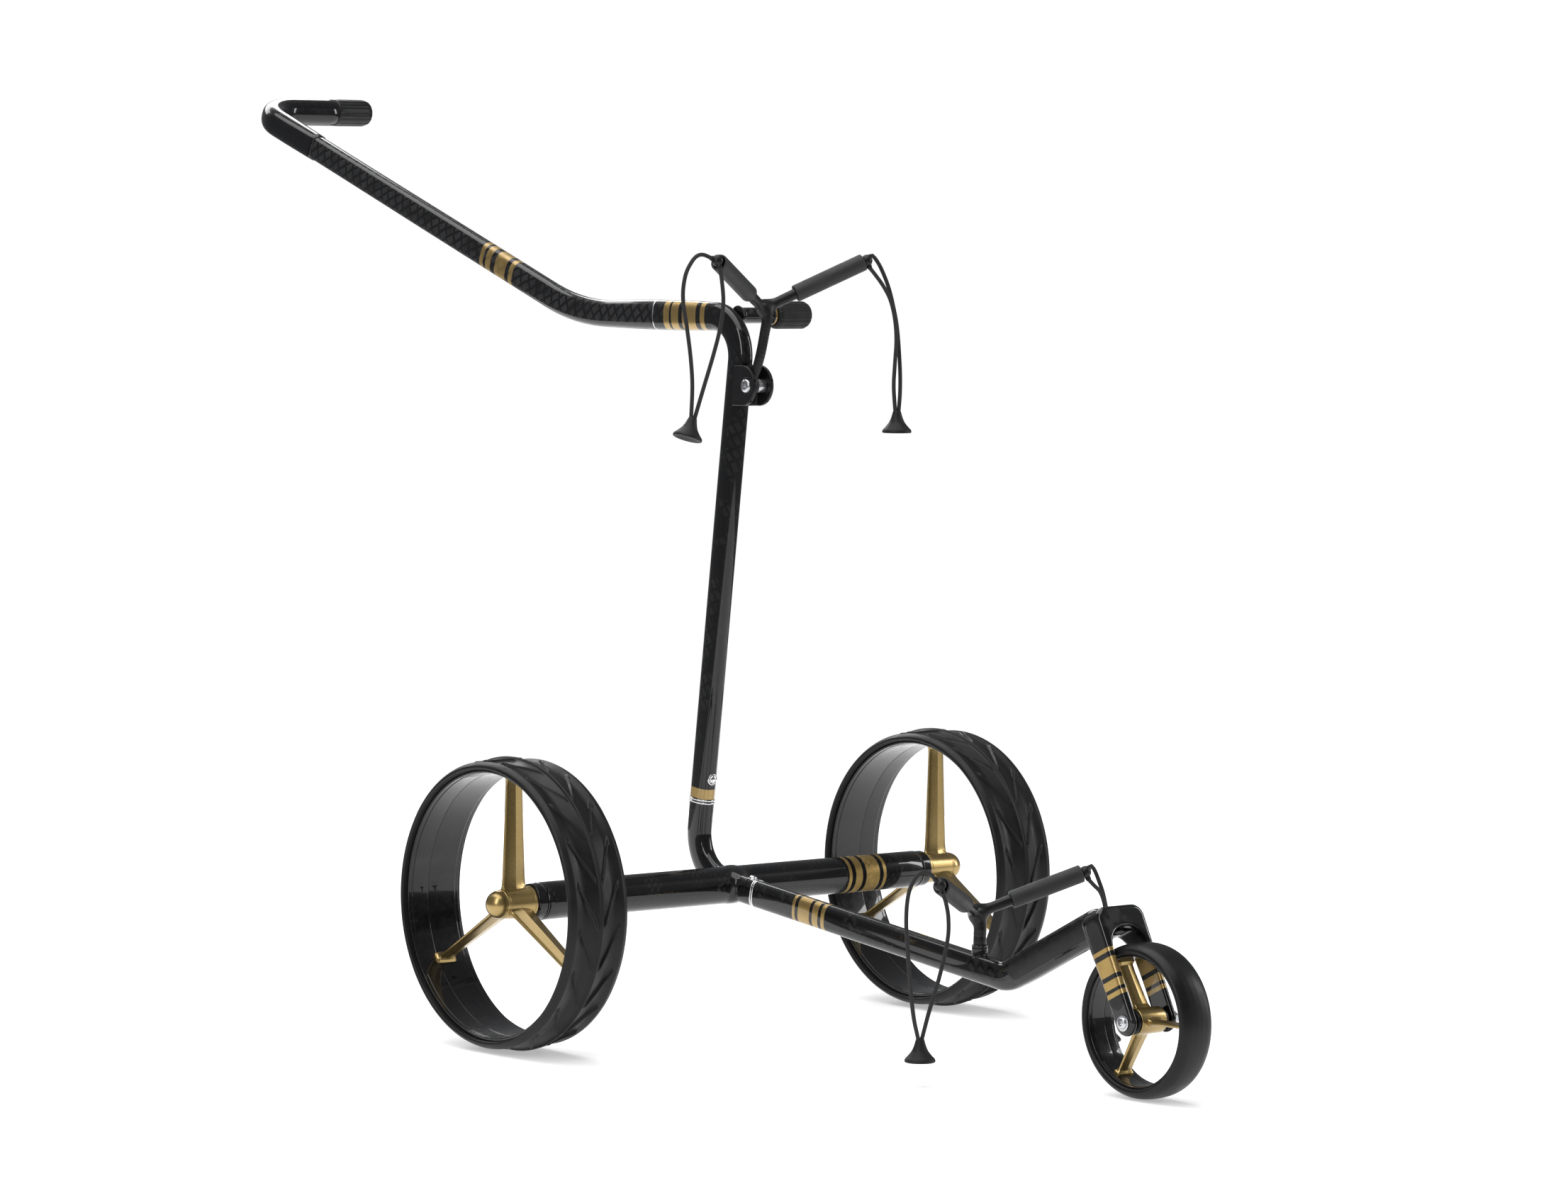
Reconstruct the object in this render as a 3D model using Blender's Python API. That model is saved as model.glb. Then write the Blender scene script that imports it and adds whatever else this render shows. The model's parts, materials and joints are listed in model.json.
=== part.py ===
"""A manual three-wheel golf push trolley with a take-apart carbon frame.

Units are metres. +Z is up, +X runs along the rear axle towards the right wheel,
the front wheel is towards -Y and the handle towards +Y. Shapes are described in
"cart" coordinates, whose origin is on the floor under the middle of the rear
axle, and every object is placed through CART_ORIGIN.
"""
import math

import bmesh
import bpy
from mathutils import Matrix, Vector

# ---------------------------------------------------------------- driving sizes
GAP = 0.0003                    # clearance kept between touching pieces
CART_ORIGIN = Vector((0.0, -0.0807, 0.0))

REAR_RADIUS = 0.145             # rear tyre
REAR_DRUM_RADIUS = 0.1300       # inside of the rear drum
REAR_WHEEL_MIDDLE = 0.2767      # middle plane of a rear wheel, each side
REAR_WHEEL_WIDTH = 0.0632       # over the drum and the tyre's edges
REAR_TYRE_BULGE = 0.0044        # how far a tyre's side stands out beyond its edge
AXLE_HEIGHT = REAR_RADIUS
AXLE_RADIUS = 0.0188
AXLE_BORE = 0.0163
AXLE_HALF = 0.2430              # end of the carbon axle tube
PIN_RADIUS = 0.0050

FRONT_RADIUS = 0.0734           # front tyre
FRONT_DRUM_RADIUS = 0.0606
FRONT_DRUM_WIDTH = 0.0320
FRONT_TYRE_WIDTH = 0.0390
FRONT_AXLE_Y = -0.6143
BOLT_RADIUS = 0.0040

TUBE = (0.0186, 0.0274)         # frame tube: width across X, depth in the YZ plane
WALL = 0.0020
TOP_TUBE = (0.0205, 0.0303)     # the level stretch around the handle joint
BEAM = (0.0205, 0.0320)         # the beam where it meets the fork
OVAL = 2.7                      # superellipse power of every frame tube
SPIGOT_PLAY = 0.0004

MAST_TILT = math.radians(7.2)   # the mast leans forward
MAST_JOINT = Vector((0.0, 0.0460, 0.2274))
TOP_HEIGHT = 0.7195             # centre line of the level stretch
HANDLE_JOINT_Y = 0.1195
HANDLE_TILT = math.radians(20.13)
HANDLE_BEND_Y = 0.2523
MAST_SPIGOT = 0.070
HANDLE_SPIGOT = 0.050
FRONT_SPIGOT = 0.026
MAST_BUTTON = 0.0238            # release button above the mast joint
FRONT_BUTTON = 0.0345           # release button of the front frame, from the axle centre
RING_SECTION = (0.0194, 0.0282)  # outside of the trim rings at both joints

FRONT_TUBE_FALL = math.atan(0.1215)
FRONT_JOINT = 0.0440            # distance of the front joint from the axle centre
FORK_RAKE = math.radians(26.6)  # legs lean forward by this much going down
FORK_HEIGHT = 0.1120            # crown top above the front axle, along the legs
ARCH_TOP = 0.0912               # top of the space under the crown
FORK_WIDTH = 0.0260
LEG_OUTSIDE = 0.0293
LEG_INSIDE = 0.0225
BEAM_LEVEL = 0.1083             # beam centre line where it meets the crown, along the legs
BEAM_CORNER = 0.4238            # where the front tube turns up into the beam, from the rear axle

CLEVIS_PIN = Vector((0.0, -0.0362, 0.6510))
CLEVIS_HALF = 0.0130
EAR_INSIDE = 0.0092
EAR_RADIUS = 0.0205

CORD_RADIUS = 0.0020
SLEEVE_RADIUS = 0.0087
ARM_CORE = 0.0056
BALL_RADIUS = 0.0060
BARE_ARM = 0.0360               # from the fork of a yoke to its sleeve

UPPER_FORK = Vector((0.0, -0.0466, 0.7284))
UPPER_TIP = Vector((0.0966, -0.0919, 0.7769))
LOWER_FORK = Vector((0.0, -0.3745, 0.1515))
LOWER_TIP = Vector((0.0932, -0.4275, 0.1900))
LOWER_STEM_Y = -0.3800

TUBE_SIDES = 16                 # facets round a frame tube
ROUND_SIDES = 16                # facets round a hub, knob or sleeve
SMALL_SIDES = 12                # facets round a pin, bolt or arm
REAR_WHEEL_STEPS = 36
FRONT_WHEEL_STEPS = 32
LARGE_SIDES = 24                # facets round the axle tube
X = Vector((1.0, 0.0, 0.0))
Z = Vector((0.0, 0.0, 1.0))
MAST_UP = Vector((0.0, -math.sin(MAST_TILT), math.cos(MAST_TILT)))
MAST_FRONT = Vector((0.0, -math.cos(MAST_TILT), -math.sin(MAST_TILT)))
FRONT_AHEAD = Vector((0.0, -math.cos(FRONT_TUBE_FALL), -math.sin(FRONT_TUBE_FALL)))
FRONT_TOP = Vector((0.0, -math.sin(FRONT_TUBE_FALL), math.cos(FRONT_TUBE_FALL)))
HANDLE_BACK = Vector((0.0, math.cos(HANDLE_TILT), math.sin(HANDLE_TILT)))
HANDLE_TOP = Vector((0.0, -math.sin(HANDLE_TILT), math.cos(HANDLE_TILT)))
LEG_UP = Vector((0.0, math.sin(FORK_RAKE), math.cos(FORK_RAKE)))
LEG_AHEAD = Vector((0.0, -math.cos(FORK_RAKE), math.sin(FORK_RAKE)))
AXLE = Vector((0.0, 0.0, AXLE_HEIGHT))
FRONT_AXLE = Vector((0.0, FRONT_AXLE_Y, FRONT_RADIUS))


# ---------------------------------------------------------------- materials
def finish(name, colour, roughness, metallic=0.0):
    material = bpy.data.materials.new(name)
    material.use_nodes = True
    shader = material.node_tree.nodes["Principled BSDF"]
    shader.inputs["Base Color"].default_value = (*colour, 1.0)
    shader.inputs["Roughness"].default_value = roughness
    shader.inputs["Metallic"].default_value = metallic
    material.diffuse_color = (*colour, 1.0)
    return material


# ---------------------------------------------------------------- placing
def place(name, mesh_data, material, pivot=Vector((0.0, 0.0, 0.0)), smooth=35.0):
    """Makes an object from a bmesh in cart coordinates, with its origin at the pivot."""
    bmesh.ops.recalc_face_normals(mesh_data, faces=mesh_data.faces)
    mesh_data.transform(Matrix.Translation(-pivot))
    mesh = bpy.data.meshes.new(name)
    mesh_data.to_mesh(mesh)
    mesh_data.free()
    mesh.materials.append(material)
    mesh.shade_smooth()
    mesh.set_sharp_from_angle(angle=math.radians(smooth))
    thing = bpy.data.objects.new(name, mesh)
    thing.location = pivot + CART_ORIGIN
    bpy.context.collection.objects.link(thing)
    return thing


def guide(name, mesh_data, pivot=Vector((0.0, 0.0, 0.0))):
    """A hidden shape that other objects are cut by or joined with."""
    thing = place(name, mesh_data, GUIDE, pivot)
    thing.hide_render = True
    thing.display_type = "WIRE"
    return thing


def combine(target, other, operation):
    modifier = target.modifiers.new(operation.lower() + "_" + other.name, "BOOLEAN")
    modifier.operation = operation
    modifier.object = other
    modifier.solver = "EXACT"


def cut(target, *others):
    for other in others:
        combine(target, other, "DIFFERENCE")


def join(target, *others):
    for other in others:
        combine(target, other, "UNION")


# ---------------------------------------------------------------- shapes
def oval(centre, across, up, size, power=OVAL, sides=TUBE_SIDES):
    """A superellipse loop, size[0] wide along across and size[1] deep along up."""
    loop = []
    for step in range(sides):
        angle = 2.0 * math.pi * (step + 0.5) / sides
        c, s = math.cos(angle), math.sin(angle)
        a = math.copysign(abs(c) ** (2.0 / power), c) * size[0] / 2.0
        b = math.copysign(abs(s) ** (2.0 / power), s) * size[1] / 2.0
        loop.append(centre + across * a + up * b)
    return loop


def loft(loops, ring=False):
    """Skins loops of equal length; a ring of loops closes on itself, others are capped."""
    body = bmesh.new()
    rows = [[body.verts.new(point) for point in loop] for loop in loops]
    pairs = list(zip(rows, rows[1:]))
    if ring:
        pairs.append((rows[-1], rows[0]))
    else:
        body.faces.new(list(reversed(rows[0])))
        body.faces.new(rows[-1])
    for near, far in pairs:
        for i in range(len(near)):
            j = (i + 1) % len(near)
            body.faces.new((near[i], near[j], far[j], far[i]))
    return body


def turned(profile, centre, axis, sides=ROUND_SIDES, ring=False, turn=0.5):
    """Turns (distance along the axis, radius) points about the axis."""
    axis = axis.normalized()
    side = axis.orthogonal().normalized() if abs(axis.x) < 0.99 else Vector((0.0, 1.0, 0.0))
    other = axis.cross(side)
    loops = []
    for along, radius in profile:
        loops.append([centre + axis * along
                      + (side * math.cos(2.0 * math.pi * (k + turn) / sides)
                         + other * math.sin(2.0 * math.pi * (k + turn) / sides)) * radius
                      for k in range(sides)])
    return loft(loops, ring)


def hex_nut(centre, start, stop, corner_radius, bore_radius):
    """A hexagonal nut about X with a round bore, from start to stop."""
    loops = []
    for along, hexagonal in ((start, True), (stop, True), (stop, False), (start, False)):
        loop = []
        for k in range(12):
            angle = math.radians(30.0 * k)
            flat = math.cos(math.radians(30.0)) if k % 2 else 1.0
            radius = corner_radius * flat if hexagonal else bore_radius
            loop.append(centre + Vector((along, radius * math.cos(angle), radius * math.sin(angle))))
        loops.append(loop)
    return loft(loops, ring=True)


def extruded(outline, depth_axis, start, stop):
    """Extrudes a flat outline of points along depth_axis from start to stop."""
    return loft([[point + depth_axis * start for point in outline],
                 [point + depth_axis * stop for point in outline]])


def arc(centre, first, second, radius, begin, end, steps):
    """Points on an arc in the plane of two unit vectors, angles in degrees."""
    points = []
    for k in range(steps + 1):
        angle = math.radians(begin + (end - begin) * k / steps)
        points.append(centre + first * (radius * math.cos(angle)) + second * (radius * math.sin(angle)))
    return points


def bent_line(corners, radii, arc_step=math.radians(12.0)):
    """Points and directions along straight runs joined by arcs at the inner corners."""
    stations = [(corners[0], (corners[1] - corners[0]).normalized())]
    for before, corner, after, radius in zip(corners, corners[1:], corners[2:], radii):
        arrive = (corner - before).normalized()
        leave = (after - corner).normalized()
        turn = arrive.angle(leave)
        reach = radius * math.tan(turn / 2.0)
        inward = (leave - arrive * leave.dot(arrive)).normalized()
        middle = corner - arrive * reach + inward * radius
        steps = max(2, math.ceil(turn / arc_step))
        for k in range(steps + 1):
            angle = turn * k / steps
            point = middle - inward * (radius * math.cos(angle)) + arrive * (radius * math.sin(angle))
            stations.append((point, arrive * math.cos(angle) + inward * math.sin(angle)))
    stations.append((corners[-1], (corners[-1] - corners[-2]).normalized()))
    return stations


def tube_loops(stations, sizes):
    """Oval loops on stations that lie in a plane containing their X direction's normal."""
    loops = []
    for (point, direction), size in zip(stations, sizes):
        loops.append(oval(point, X, X.cross(direction).normalized() * -1.0, size))
    return loops


def between(size, other, share):
    return tuple(a + (b - a) * share for a, b in zip(size, other))


def shrink(size, amount):
    return (size[0] - 2.0 * amount, size[1] - 2.0 * amount)


def round_tube(points, radii, sides=12):
    """A round solid along points, with a radius for each."""
    loops = []
    for k, (point, radius) in enumerate(zip(points, radii)):
        before = points[max(k - 1, 0)]
        after = points[min(k + 1, len(points) - 1)]
        direction = (after - before).normalized()
        side = direction.cross(Vector((0.0, 1.0, 0.0))).normalized()
        other = direction.cross(side)
        loops.append([point + (side * math.cos(2.0 * math.pi * j / sides)
                               + other * math.sin(2.0 * math.pi * j / sides)) * radius
                      for j in range(sides)])
    return loft(loops)


def smooth_route(points, spacing):
    """Points at an even spacing on a Catmull-Rom curve through the route's own points."""
    ends = [points[0] * 2.0 - points[1]] + points + [points[-1] * 2.0 - points[-2]]
    fine = []
    for a, b, c, d in zip(ends, ends[1:], ends[2:], ends[3:]):
        for k in range(12):
            t = k / 12.0
            fine.append(0.5 * (2.0 * b + (c - a) * t + (2.0 * a - 5.0 * b + 4.0 * c - d) * t ** 2
                               + (3.0 * b - a - 3.0 * c + d) * t ** 3))
    fine.append(points[-1])
    lengths = [0.0]
    for p, q in zip(fine, fine[1:]):
        lengths.append(lengths[-1] + (q - p).length)
    count = max(2, round(lengths[-1] / spacing))
    even = []
    for k in range(count + 1):
        want = lengths[-1] * k / count
        i = min(max(j for j, length in enumerate(lengths) if length <= want + 1e-9), len(fine) - 2)
        share = (want - lengths[i]) / (lengths[i + 1] - lengths[i])
        even.append(fine[i].lerp(fine[i + 1], share))
    return even


# ---------------------------------------------------------------- chassis
def front_tube_point(distance):
    return AXLE + FRONT_AHEAD * distance


def make_chassis():
    """The moulded rear crossmember with the mast stub and the front socket, and its fittings."""
    frame = place("axle_frame", turned(
        [(-AXLE_HALF, AXLE_RADIUS), (AXLE_HALF, AXLE_RADIUS)], AXLE, X, LARGE_SIDES), CARBON)
    stub_path = bent_line(
        [AXLE + Vector((0.0, 0.004, 0.0023)), Vector((0.0, 0.0556, 0.1510)),
         MAST_JOINT - MAST_UP * 0.0026], [0.046])
    stub = guide("stub_shape", loft(tube_loops(stub_path, [TUBE] * len(stub_path))))
    spigot_size = shrink(TUBE, WALL + SPIGOT_PLAY)
    spigot_path = [(MAST_JOINT + MAST_UP * rise, MAST_UP)
                   for rise in (-0.010, MAST_SPIGOT - 0.002, MAST_SPIGOT)]
    spigot = guide("stub_spigot_shape", loft(tube_loops(
        spigot_path, [spigot_size, spigot_size, shrink(spigot_size, 0.0012)])))
    socket_path = [(front_tube_point(distance), FRONT_AHEAD) for distance in (0.006, FRONT_JOINT - 0.0026)]
    socket = guide("socket_shape", loft(tube_loops(socket_path, [TUBE] * 2)))
    join(frame, stub, spigot, socket)

    bore = guide("axle_bore", turned([(-0.3, AXLE_BORE), (0.3, AXLE_BORE)], AXLE, X, LARGE_SIDES))
    mouth = [(front_tube_point(0.0170), FRONT_AHEAD), (front_tube_point(0.060), FRONT_AHEAD)]
    socket_bore = guide("socket_bore", loft(tube_loops(mouth, [shrink(TUBE, WALL)] * 2)))
    mast_hole = guide("stub_button_hole", turned(
        [(0.004, 0.0053), (0.03, 0.0053)], MAST_JOINT + MAST_UP * MAST_BUTTON, MAST_FRONT, SMALL_SIDES))
    button_hole = guide("socket_button_hole", turned(
        [(0.006, 0.0043), (0.03, 0.0043)], front_tube_point(FRONT_BUTTON), FRONT_TOP, SMALL_SIDES))
    cut(frame, bore, socket_bore, mast_hole, button_hole)

    for side, sign in (("left", -1.0), ("right", 1.0)):
        place(side + "_axle_bush", turned(
            [(0.185, 0.0159), (0.2427, 0.0159), (0.2427, PIN_RADIUS + GAP), (0.185, PIN_RADIUS + GAP)],
            AXLE, X * sign, LARGE_SIDES, ring=True), STEEL)
    ring_bore = shrink(TUBE, WALL)
    for name, start, stop, point, along in (
            ("mast_stub_ring", -0.0023, -0.00015, MAST_JOINT, MAST_UP),
            ("front_socket_ring", -0.0023, -0.00015, front_tube_point(FRONT_JOINT), FRONT_AHEAD)):
        make_ring(name, point, along, start, stop, ring_bore)
    snap_button("front_release_button", front_tube_point(FRONT_BUTTON), FRONT_TOP, 0.0040)


def make_ring(name, point, along, start, stop, inside, pivot=Vector((0.0, 0.0, 0.0))):
    """A thin oval trim ring round a joint."""
    near, far = (point + along * start, along), (point + along * stop, along)
    loops = tube_loops([near, far, far, near], [RING_SECTION, RING_SECTION, inside, inside])
    return place(name, loft(loops, ring=True), CHROME, pivot)


def snap_button(name, point, outward, radius):
    """A domed push button standing in the wall of a tube's outer piece."""
    surface = TUBE[1] / 2.0
    inner = surface - WALL + 0.0001
    profile = [(inner, radius - GAP), (surface + 0.0012, radius - GAP), (surface + 0.0024, radius * 0.78),
               (surface + 0.0031, radius * 0.4), (surface + 0.0033, radius * 0.08)]
    place(name, turned(profile, point, outward, SMALL_SIDES), CHROME, point + outward * surface)


# ---------------------------------------------------------------- mast
def make_mast():
    corner = MAST_JOINT + MAST_UP * ((TOP_HEIGHT - MAST_JOINT.z) / MAST_UP.z)
    joint = Vector((0.0, HANDLE_JOINT_Y, TOP_HEIGHT))
    path = bent_line([MAST_JOINT + MAST_UP * 0.0026, corner, joint], [0.040], math.radians(14.0))
    last = len(path) - 1
    grow = [min(1.0, max(0.0, (k - 1) / (last - 2))) for k in range(last + 1)]
    sizes = [between(TUBE, TOP_TUBE, share) for share in grow]
    outside = tube_loops(path, sizes)
    spigot_size = shrink(TOP_TUBE, WALL + SPIGOT_PLAY)
    back = Vector((0.0, 1.0, 0.0))
    spigot_path = [(joint + back * reach, back) for reach in (0.0, HANDLE_SPIGOT - 0.002, HANDLE_SPIGOT)]
    spigot = tube_loops(spigot_path, [spigot_size, spigot_size, shrink(spigot_size, 0.001)])
    inner_size = shrink(spigot_size, WALL)
    inside = tube_loops([(joint + back * HANDLE_SPIGOT, back)], [inner_size])
    inside += tube_loops([path[-1]], [inner_size])
    hollow = [0] + list(range(1, len(path) - 1, 2))
    hollow.reverse()
    inside += tube_loops([path[k] for k in hollow], [shrink(sizes[k], WALL) for k in hollow])
    mast = place("mast_tube", loft(outside + spigot + inside, ring=True), CARBON, MAST_JOINT)
    hole = guide("mast_button_hole", turned(
        [(0.0085, 0.0050), (0.03, 0.0050)], MAST_JOINT + MAST_UP * MAST_BUTTON, MAST_FRONT, SMALL_SIDES))
    cut(mast, hole)
    make_ring("mast_end_ring", MAST_JOINT, MAST_UP, 0.00015, 0.0023, shrink(TUBE, WALL), MAST_JOINT)
    snap_button("mast_release_button", MAST_JOINT + MAST_UP * MAST_BUTTON, MAST_FRONT, 0.0047)
    make_clevis()
    make_accessory_holder()


def make_clevis():
    """The hinge bracket that clasps the mast, and the bolt the upper yoke turns on."""
    back = Vector((0.0, 1.0, 0.0))
    arc_centre = CLEVIS_PIN + Vector((0.0, 0.0080, 0.0))
    outline = arc(arc_centre, back, Z, EAR_RADIUS, 90.0, 270.0, 18)
    outline += [CLEVIS_PIN + Vector((0.0, 0.0235, -EAR_RADIUS))]
    outline += [CLEVIS_PIN + Vector((0.0, 0.0195, EAR_RADIUS))]
    clevis = place("bracket_clevis", extruded(outline, X, -CLEVIS_HALF, CLEVIS_HALF), BLACK_METAL, CLEVIS_PIN)
    low, high = MAST_JOINT + MAST_UP * 0.38, MAST_JOINT + MAST_UP * 0.460
    room = (TUBE[0] + 2.0 * GAP, TUBE[1] + 2.0 * GAP)
    mast_room = guide("clevis_mast_room", loft(tube_loops([(low, MAST_UP), (high, MAST_UP)], [room, room])))
    slot_outline = [CLEVIS_PIN + Vector((0.0, y, z)) for y, z in
                    ((0.0112, -0.03), (-0.04, -0.03), (-0.04, 0.03), (0.0058, 0.03))]
    slot = guide("clevis_slot", extruded(slot_outline, X, -EAR_INSIDE, EAR_INSIDE))
    hole = guide("clevis_pin_hole", turned([(-0.03, 0.0033), (0.03, 0.0033)], CLEVIS_PIN, X, SMALL_SIDES))
    cut(clevis, mast_room, slot, hole)
    outer = CLEVIS_HALF + GAP
    bolt = [(-outer - 0.0026, 0.0055), (-outer - 0.0016, 0.0071), (-outer, 0.0071), (-outer, 0.0030),
            (0.0200, 0.0030)]
    place("clevis_bolt", turned(bolt, CLEVIS_PIN, X, SMALL_SIDES), STEEL, CLEVIS_PIN)
    place("clevis_nut", hex_nut(CLEVIS_PIN, outer, outer + 0.0046, 0.0070, 0.0033), STEEL, CLEVIS_PIN)
    sleeve = [(-0.0014, 0.0068), (0.0089, 0.0068), (0.0089, 0.0033), (-0.0014, 0.0033)]
    place("clevis_spacer_sleeve", turned(sleeve, CLEVIS_PIN, X, SMALL_SIDES, ring=True), STEEL, CLEVIS_PIN)


def make_accessory_holder():
    """A short arm on the side of the mast head, with a ribbed clamp knob on its end."""
    root = Vector((0.0, 0.0060, 0.7206))
    foot = TUBE[0] / 2.0 + 0.0012
    arm = [(foot, 0.0100), (foot + 0.003, 0.0080), (0.0520, 0.0080), (0.0520, 0.0100), (0.0555, 0.0100),
           (0.0555, 0.0045), (0.0920, 0.0045)]
    place("accessory_arm", turned(arm, root, X, ROUND_SIDES), CARBON)
    knob = [(0.0559, 0.0120), (0.0590, 0.0143), (0.0945, 0.0143), (0.0985, 0.0118), (0.0995, 0.0095),
            (0.0995, 0.0060), (0.0940, 0.0048), (0.0559, 0.0048)]
    place("accessory_knob", turned(knob, root, X, ROUND_SIDES, ring=True), RUBBER, root)


# ---------------------------------------------------------------- handle
def handle_point(distance):
    """A point on the sloping handle line, measured from the corner of its bend."""
    return Vector((0.0, HANDLE_BEND_Y, TOP_HEIGHT - 0.0005)) + HANDLE_BACK * distance


GRIP_SEAM = 0.4990              # along the sloping line
GRIP_LINE = 0.6205              # the grip crosses the sloping line here
GRIP_BEND = 0.043
GRIP_DIAMETER = 0.0294
GRIP_TUBE_END = 0.1000


def make_handle():
    joint = Vector((0.0, HANDLE_JOINT_Y + GAP, TOP_HEIGHT))
    corner = handle_point(0.0)
    end = handle_point(GRIP_SEAM)
    path = bent_line([joint, corner, end], [0.290], math.radians(5.5))
    tail = path.pop()
    path += [(handle_point(GRIP_SEAM / 2.0), HANDLE_BACK), tail]
    last = len(path) - 1
    slim = (0.0186, 0.0266)
    sizes = []
    for k in range(last + 1):
        share = min(1.0, max(0.0, (k - 1) / 4.0))
        sizes.append(between(TOP_TUBE, TUBE if k < last else slim, share))
    outside = tube_loops(path, sizes)
    inside = tube_loops(list(reversed(path)), [shrink(size, WALL) for size in reversed(sizes)])
    place("handle_tube", loft(outside + inside, ring=True), CARBON, joint)

    plug_size = shrink(slim, WALL + SPIGOT_PLAY)
    seam = handle_point(GRIP_SEAM + GAP)
    bend_start = GRIP_LINE - GRIP_BEND
    loops = [oval(seam - HANDLE_BACK * 0.030, X, HANDLE_TOP, plug_size), oval(seam, X, HANDLE_TOP, plug_size)]
    grip_sizes = [(0.0205, 0.0285), (0.0240, 0.0288)]
    loops += [oval(seam, X, HANDLE_TOP, grip_sizes[0])]
    loops += [oval(handle_point(GRIP_SEAM + 0.05), X, HANDLE_TOP, grip_sizes[1])]
    centre = handle_point(bend_start) + X * GRIP_BEND
    for k in range(7):
        angle = math.radians(15.0 * k)
        point = centre - X * (GRIP_BEND * math.cos(angle)) + HANDLE_BACK * (GRIP_BEND * math.sin(angle))
        across = X * math.cos(angle) - HANDLE_BACK * math.sin(angle)
        size = between(grip_sizes[1], (GRIP_DIAMETER, GRIP_DIAMETER), k / 6.0)
        loops.append(oval(point, across, HANDLE_TOP, size, OVAL - 0.7 * k / 6.0))
    grip_root = handle_point(GRIP_LINE)
    for reach, width in ((0.0, GRIP_DIAMETER), (0.0, 0.0180), (0.020, 0.0180)):
        end_point = grip_root + X * (GRIP_TUBE_END + reach)
        loops.append(oval(end_point, -HANDLE_BACK, HANDLE_TOP, (width, width), 2.0))
    place("grip_elbow", loft(loops), CARBON, joint)

    start = GRIP_TUBE_END + GAP
    knob = [(start, 0.0146), (start + 0.0060, 0.0150), (start + 0.0420, 0.0147), (start + 0.0470, 0.0118),
            (start + 0.0482, 0.0085)]
    body = place("grip_end_knob", turned(knob, grip_root, X, ROUND_SIDES), RUBBER, joint)
    pocket = guide("grip_knob_pocket", turned(
        [(start - 0.002, 0.0093), (GRIP_TUBE_END + 0.0203, 0.0093)], grip_root, X, ROUND_SIDES))
    cut(body, pocket)


# ---------------------------------------------------------------- bag yokes
def make_yoke(name, fork, tip, stem_points, stem_radii, pivot, eye=None):
    """A Y-shaped bag rest: a stem, two arms and the drilled balls that hold the cords."""
    right = arm_shape(fork, tip)
    yoke = place(name, right, PLASTIC, pivot)
    mirrored = Vector((-tip.x, tip.y, tip.z))
    left = guide(name + "_left_arm", arm_shape(fork, mirrored))
    stem = guide(name + "_stem", round_tube(stem_points, stem_radii))
    hub = bmesh.new()
    bmesh.ops.create_icosphere(hub, subdivisions=2, radius=0.0090, matrix=Matrix.Translation(fork))
    joint = guide(name + "_hub", hub)
    join(yoke, left, stem, joint)
    if eye:
        join(yoke, guide(name + "_eye", turned([(-0.0089, 0.0080), (-0.0018, 0.0080)], eye, X, SMALL_SIDES)))
        hole = turned([(-0.02, 0.0033), (0.02, 0.0033)], eye, X, SMALL_SIDES)
        cut(yoke, guide(name + "_eye_hole", hole))
    return yoke


def arm_shape(fork, tip):
    """One arm, from inside the hub to its ball, with a slimmer core under the sleeve."""
    along = (tip - fork).normalized()
    length = (tip - fork).length
    stations = [(0.0, 0.0078), (0.4 * BARE_ARM, 0.0064), (BARE_ARM, 0.0062), (BARE_ARM, ARM_CORE),
                (length - 0.0075, ARM_CORE), (length - 0.0055, 0.0040)]
    ball_steps = 4
    for k in range(1, ball_steps + 1):
        angle = math.radians(138.0 - 132.0 * k / ball_steps)
        stations.append((length + BALL_RADIUS * math.cos(angle), BALL_RADIUS * math.sin(angle)))
    return turned(stations, fork, along, 12)


def make_sleeves(prefix, fork, tip, pivot):
    """The rubber sleeves that the bag leans on."""
    for side, sign in (("left", -1.0), ("right", 1.0)):
        end = Vector((tip.x * sign, tip.y, tip.z))
        along = (end - fork).normalized()
        length = (end - fork).length
        inner = ARM_CORE + GAP + 0.0001
        mouth = BALL_RADIUS + 0.0005
        start = BARE_ARM + 0.0004
        profile = [(start, SLEEVE_RADIUS), (length - 0.0036, SLEEVE_RADIUS), (length - 0.0036, mouth),
                   (length - 0.0085, mouth), (length - 0.0085, inner), (start, inner)]
        place(f"{prefix}_{side}_sleeve", turned(profile, fork, along, SMALL_SIDES, ring=True), RUBBER, pivot)


def make_cords(prefix, side, routes, cone_top, cone_axis, pivot):
    """Two strands of one elastic loop and the flared pull that they end in."""
    for label, route in routes.items():
        points = smooth_route([Vector(point) for point in route], 0.0120)
        curve = bpy.data.curves.new(f"{prefix}_{side}_cord_{label}", "CURVE")
        curve.dimensions = "3D"
        curve.bevel_depth = CORD_RADIUS
        curve.bevel_resolution = 2
        curve.use_fill_caps = True
        spline = curve.splines.new("POLY")
        spline.points.add(len(points) - 1)
        for slot, point in zip(spline.points, points):
            slot.co = (*(point - pivot), 1.0)
        curve.materials.append(CORD)
        strand = bpy.data.objects.new(curve.name, curve)
        strand.location = pivot + CART_ORIGIN
        bpy.context.collection.objects.link(strand)
    flare = [(0.0, 0.0044), (0.0060, 0.0062), (0.0120, 0.0094), (0.0180, 0.0146), (0.0205, 0.0150),
             (0.0212, 0.0130)]
    pull = turned(flare, Vector(cone_top), Vector(cone_axis), SMALL_SIDES)
    place(f"{prefix}_{side}_cord_pull", pull, RUBBER, pivot)


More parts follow.
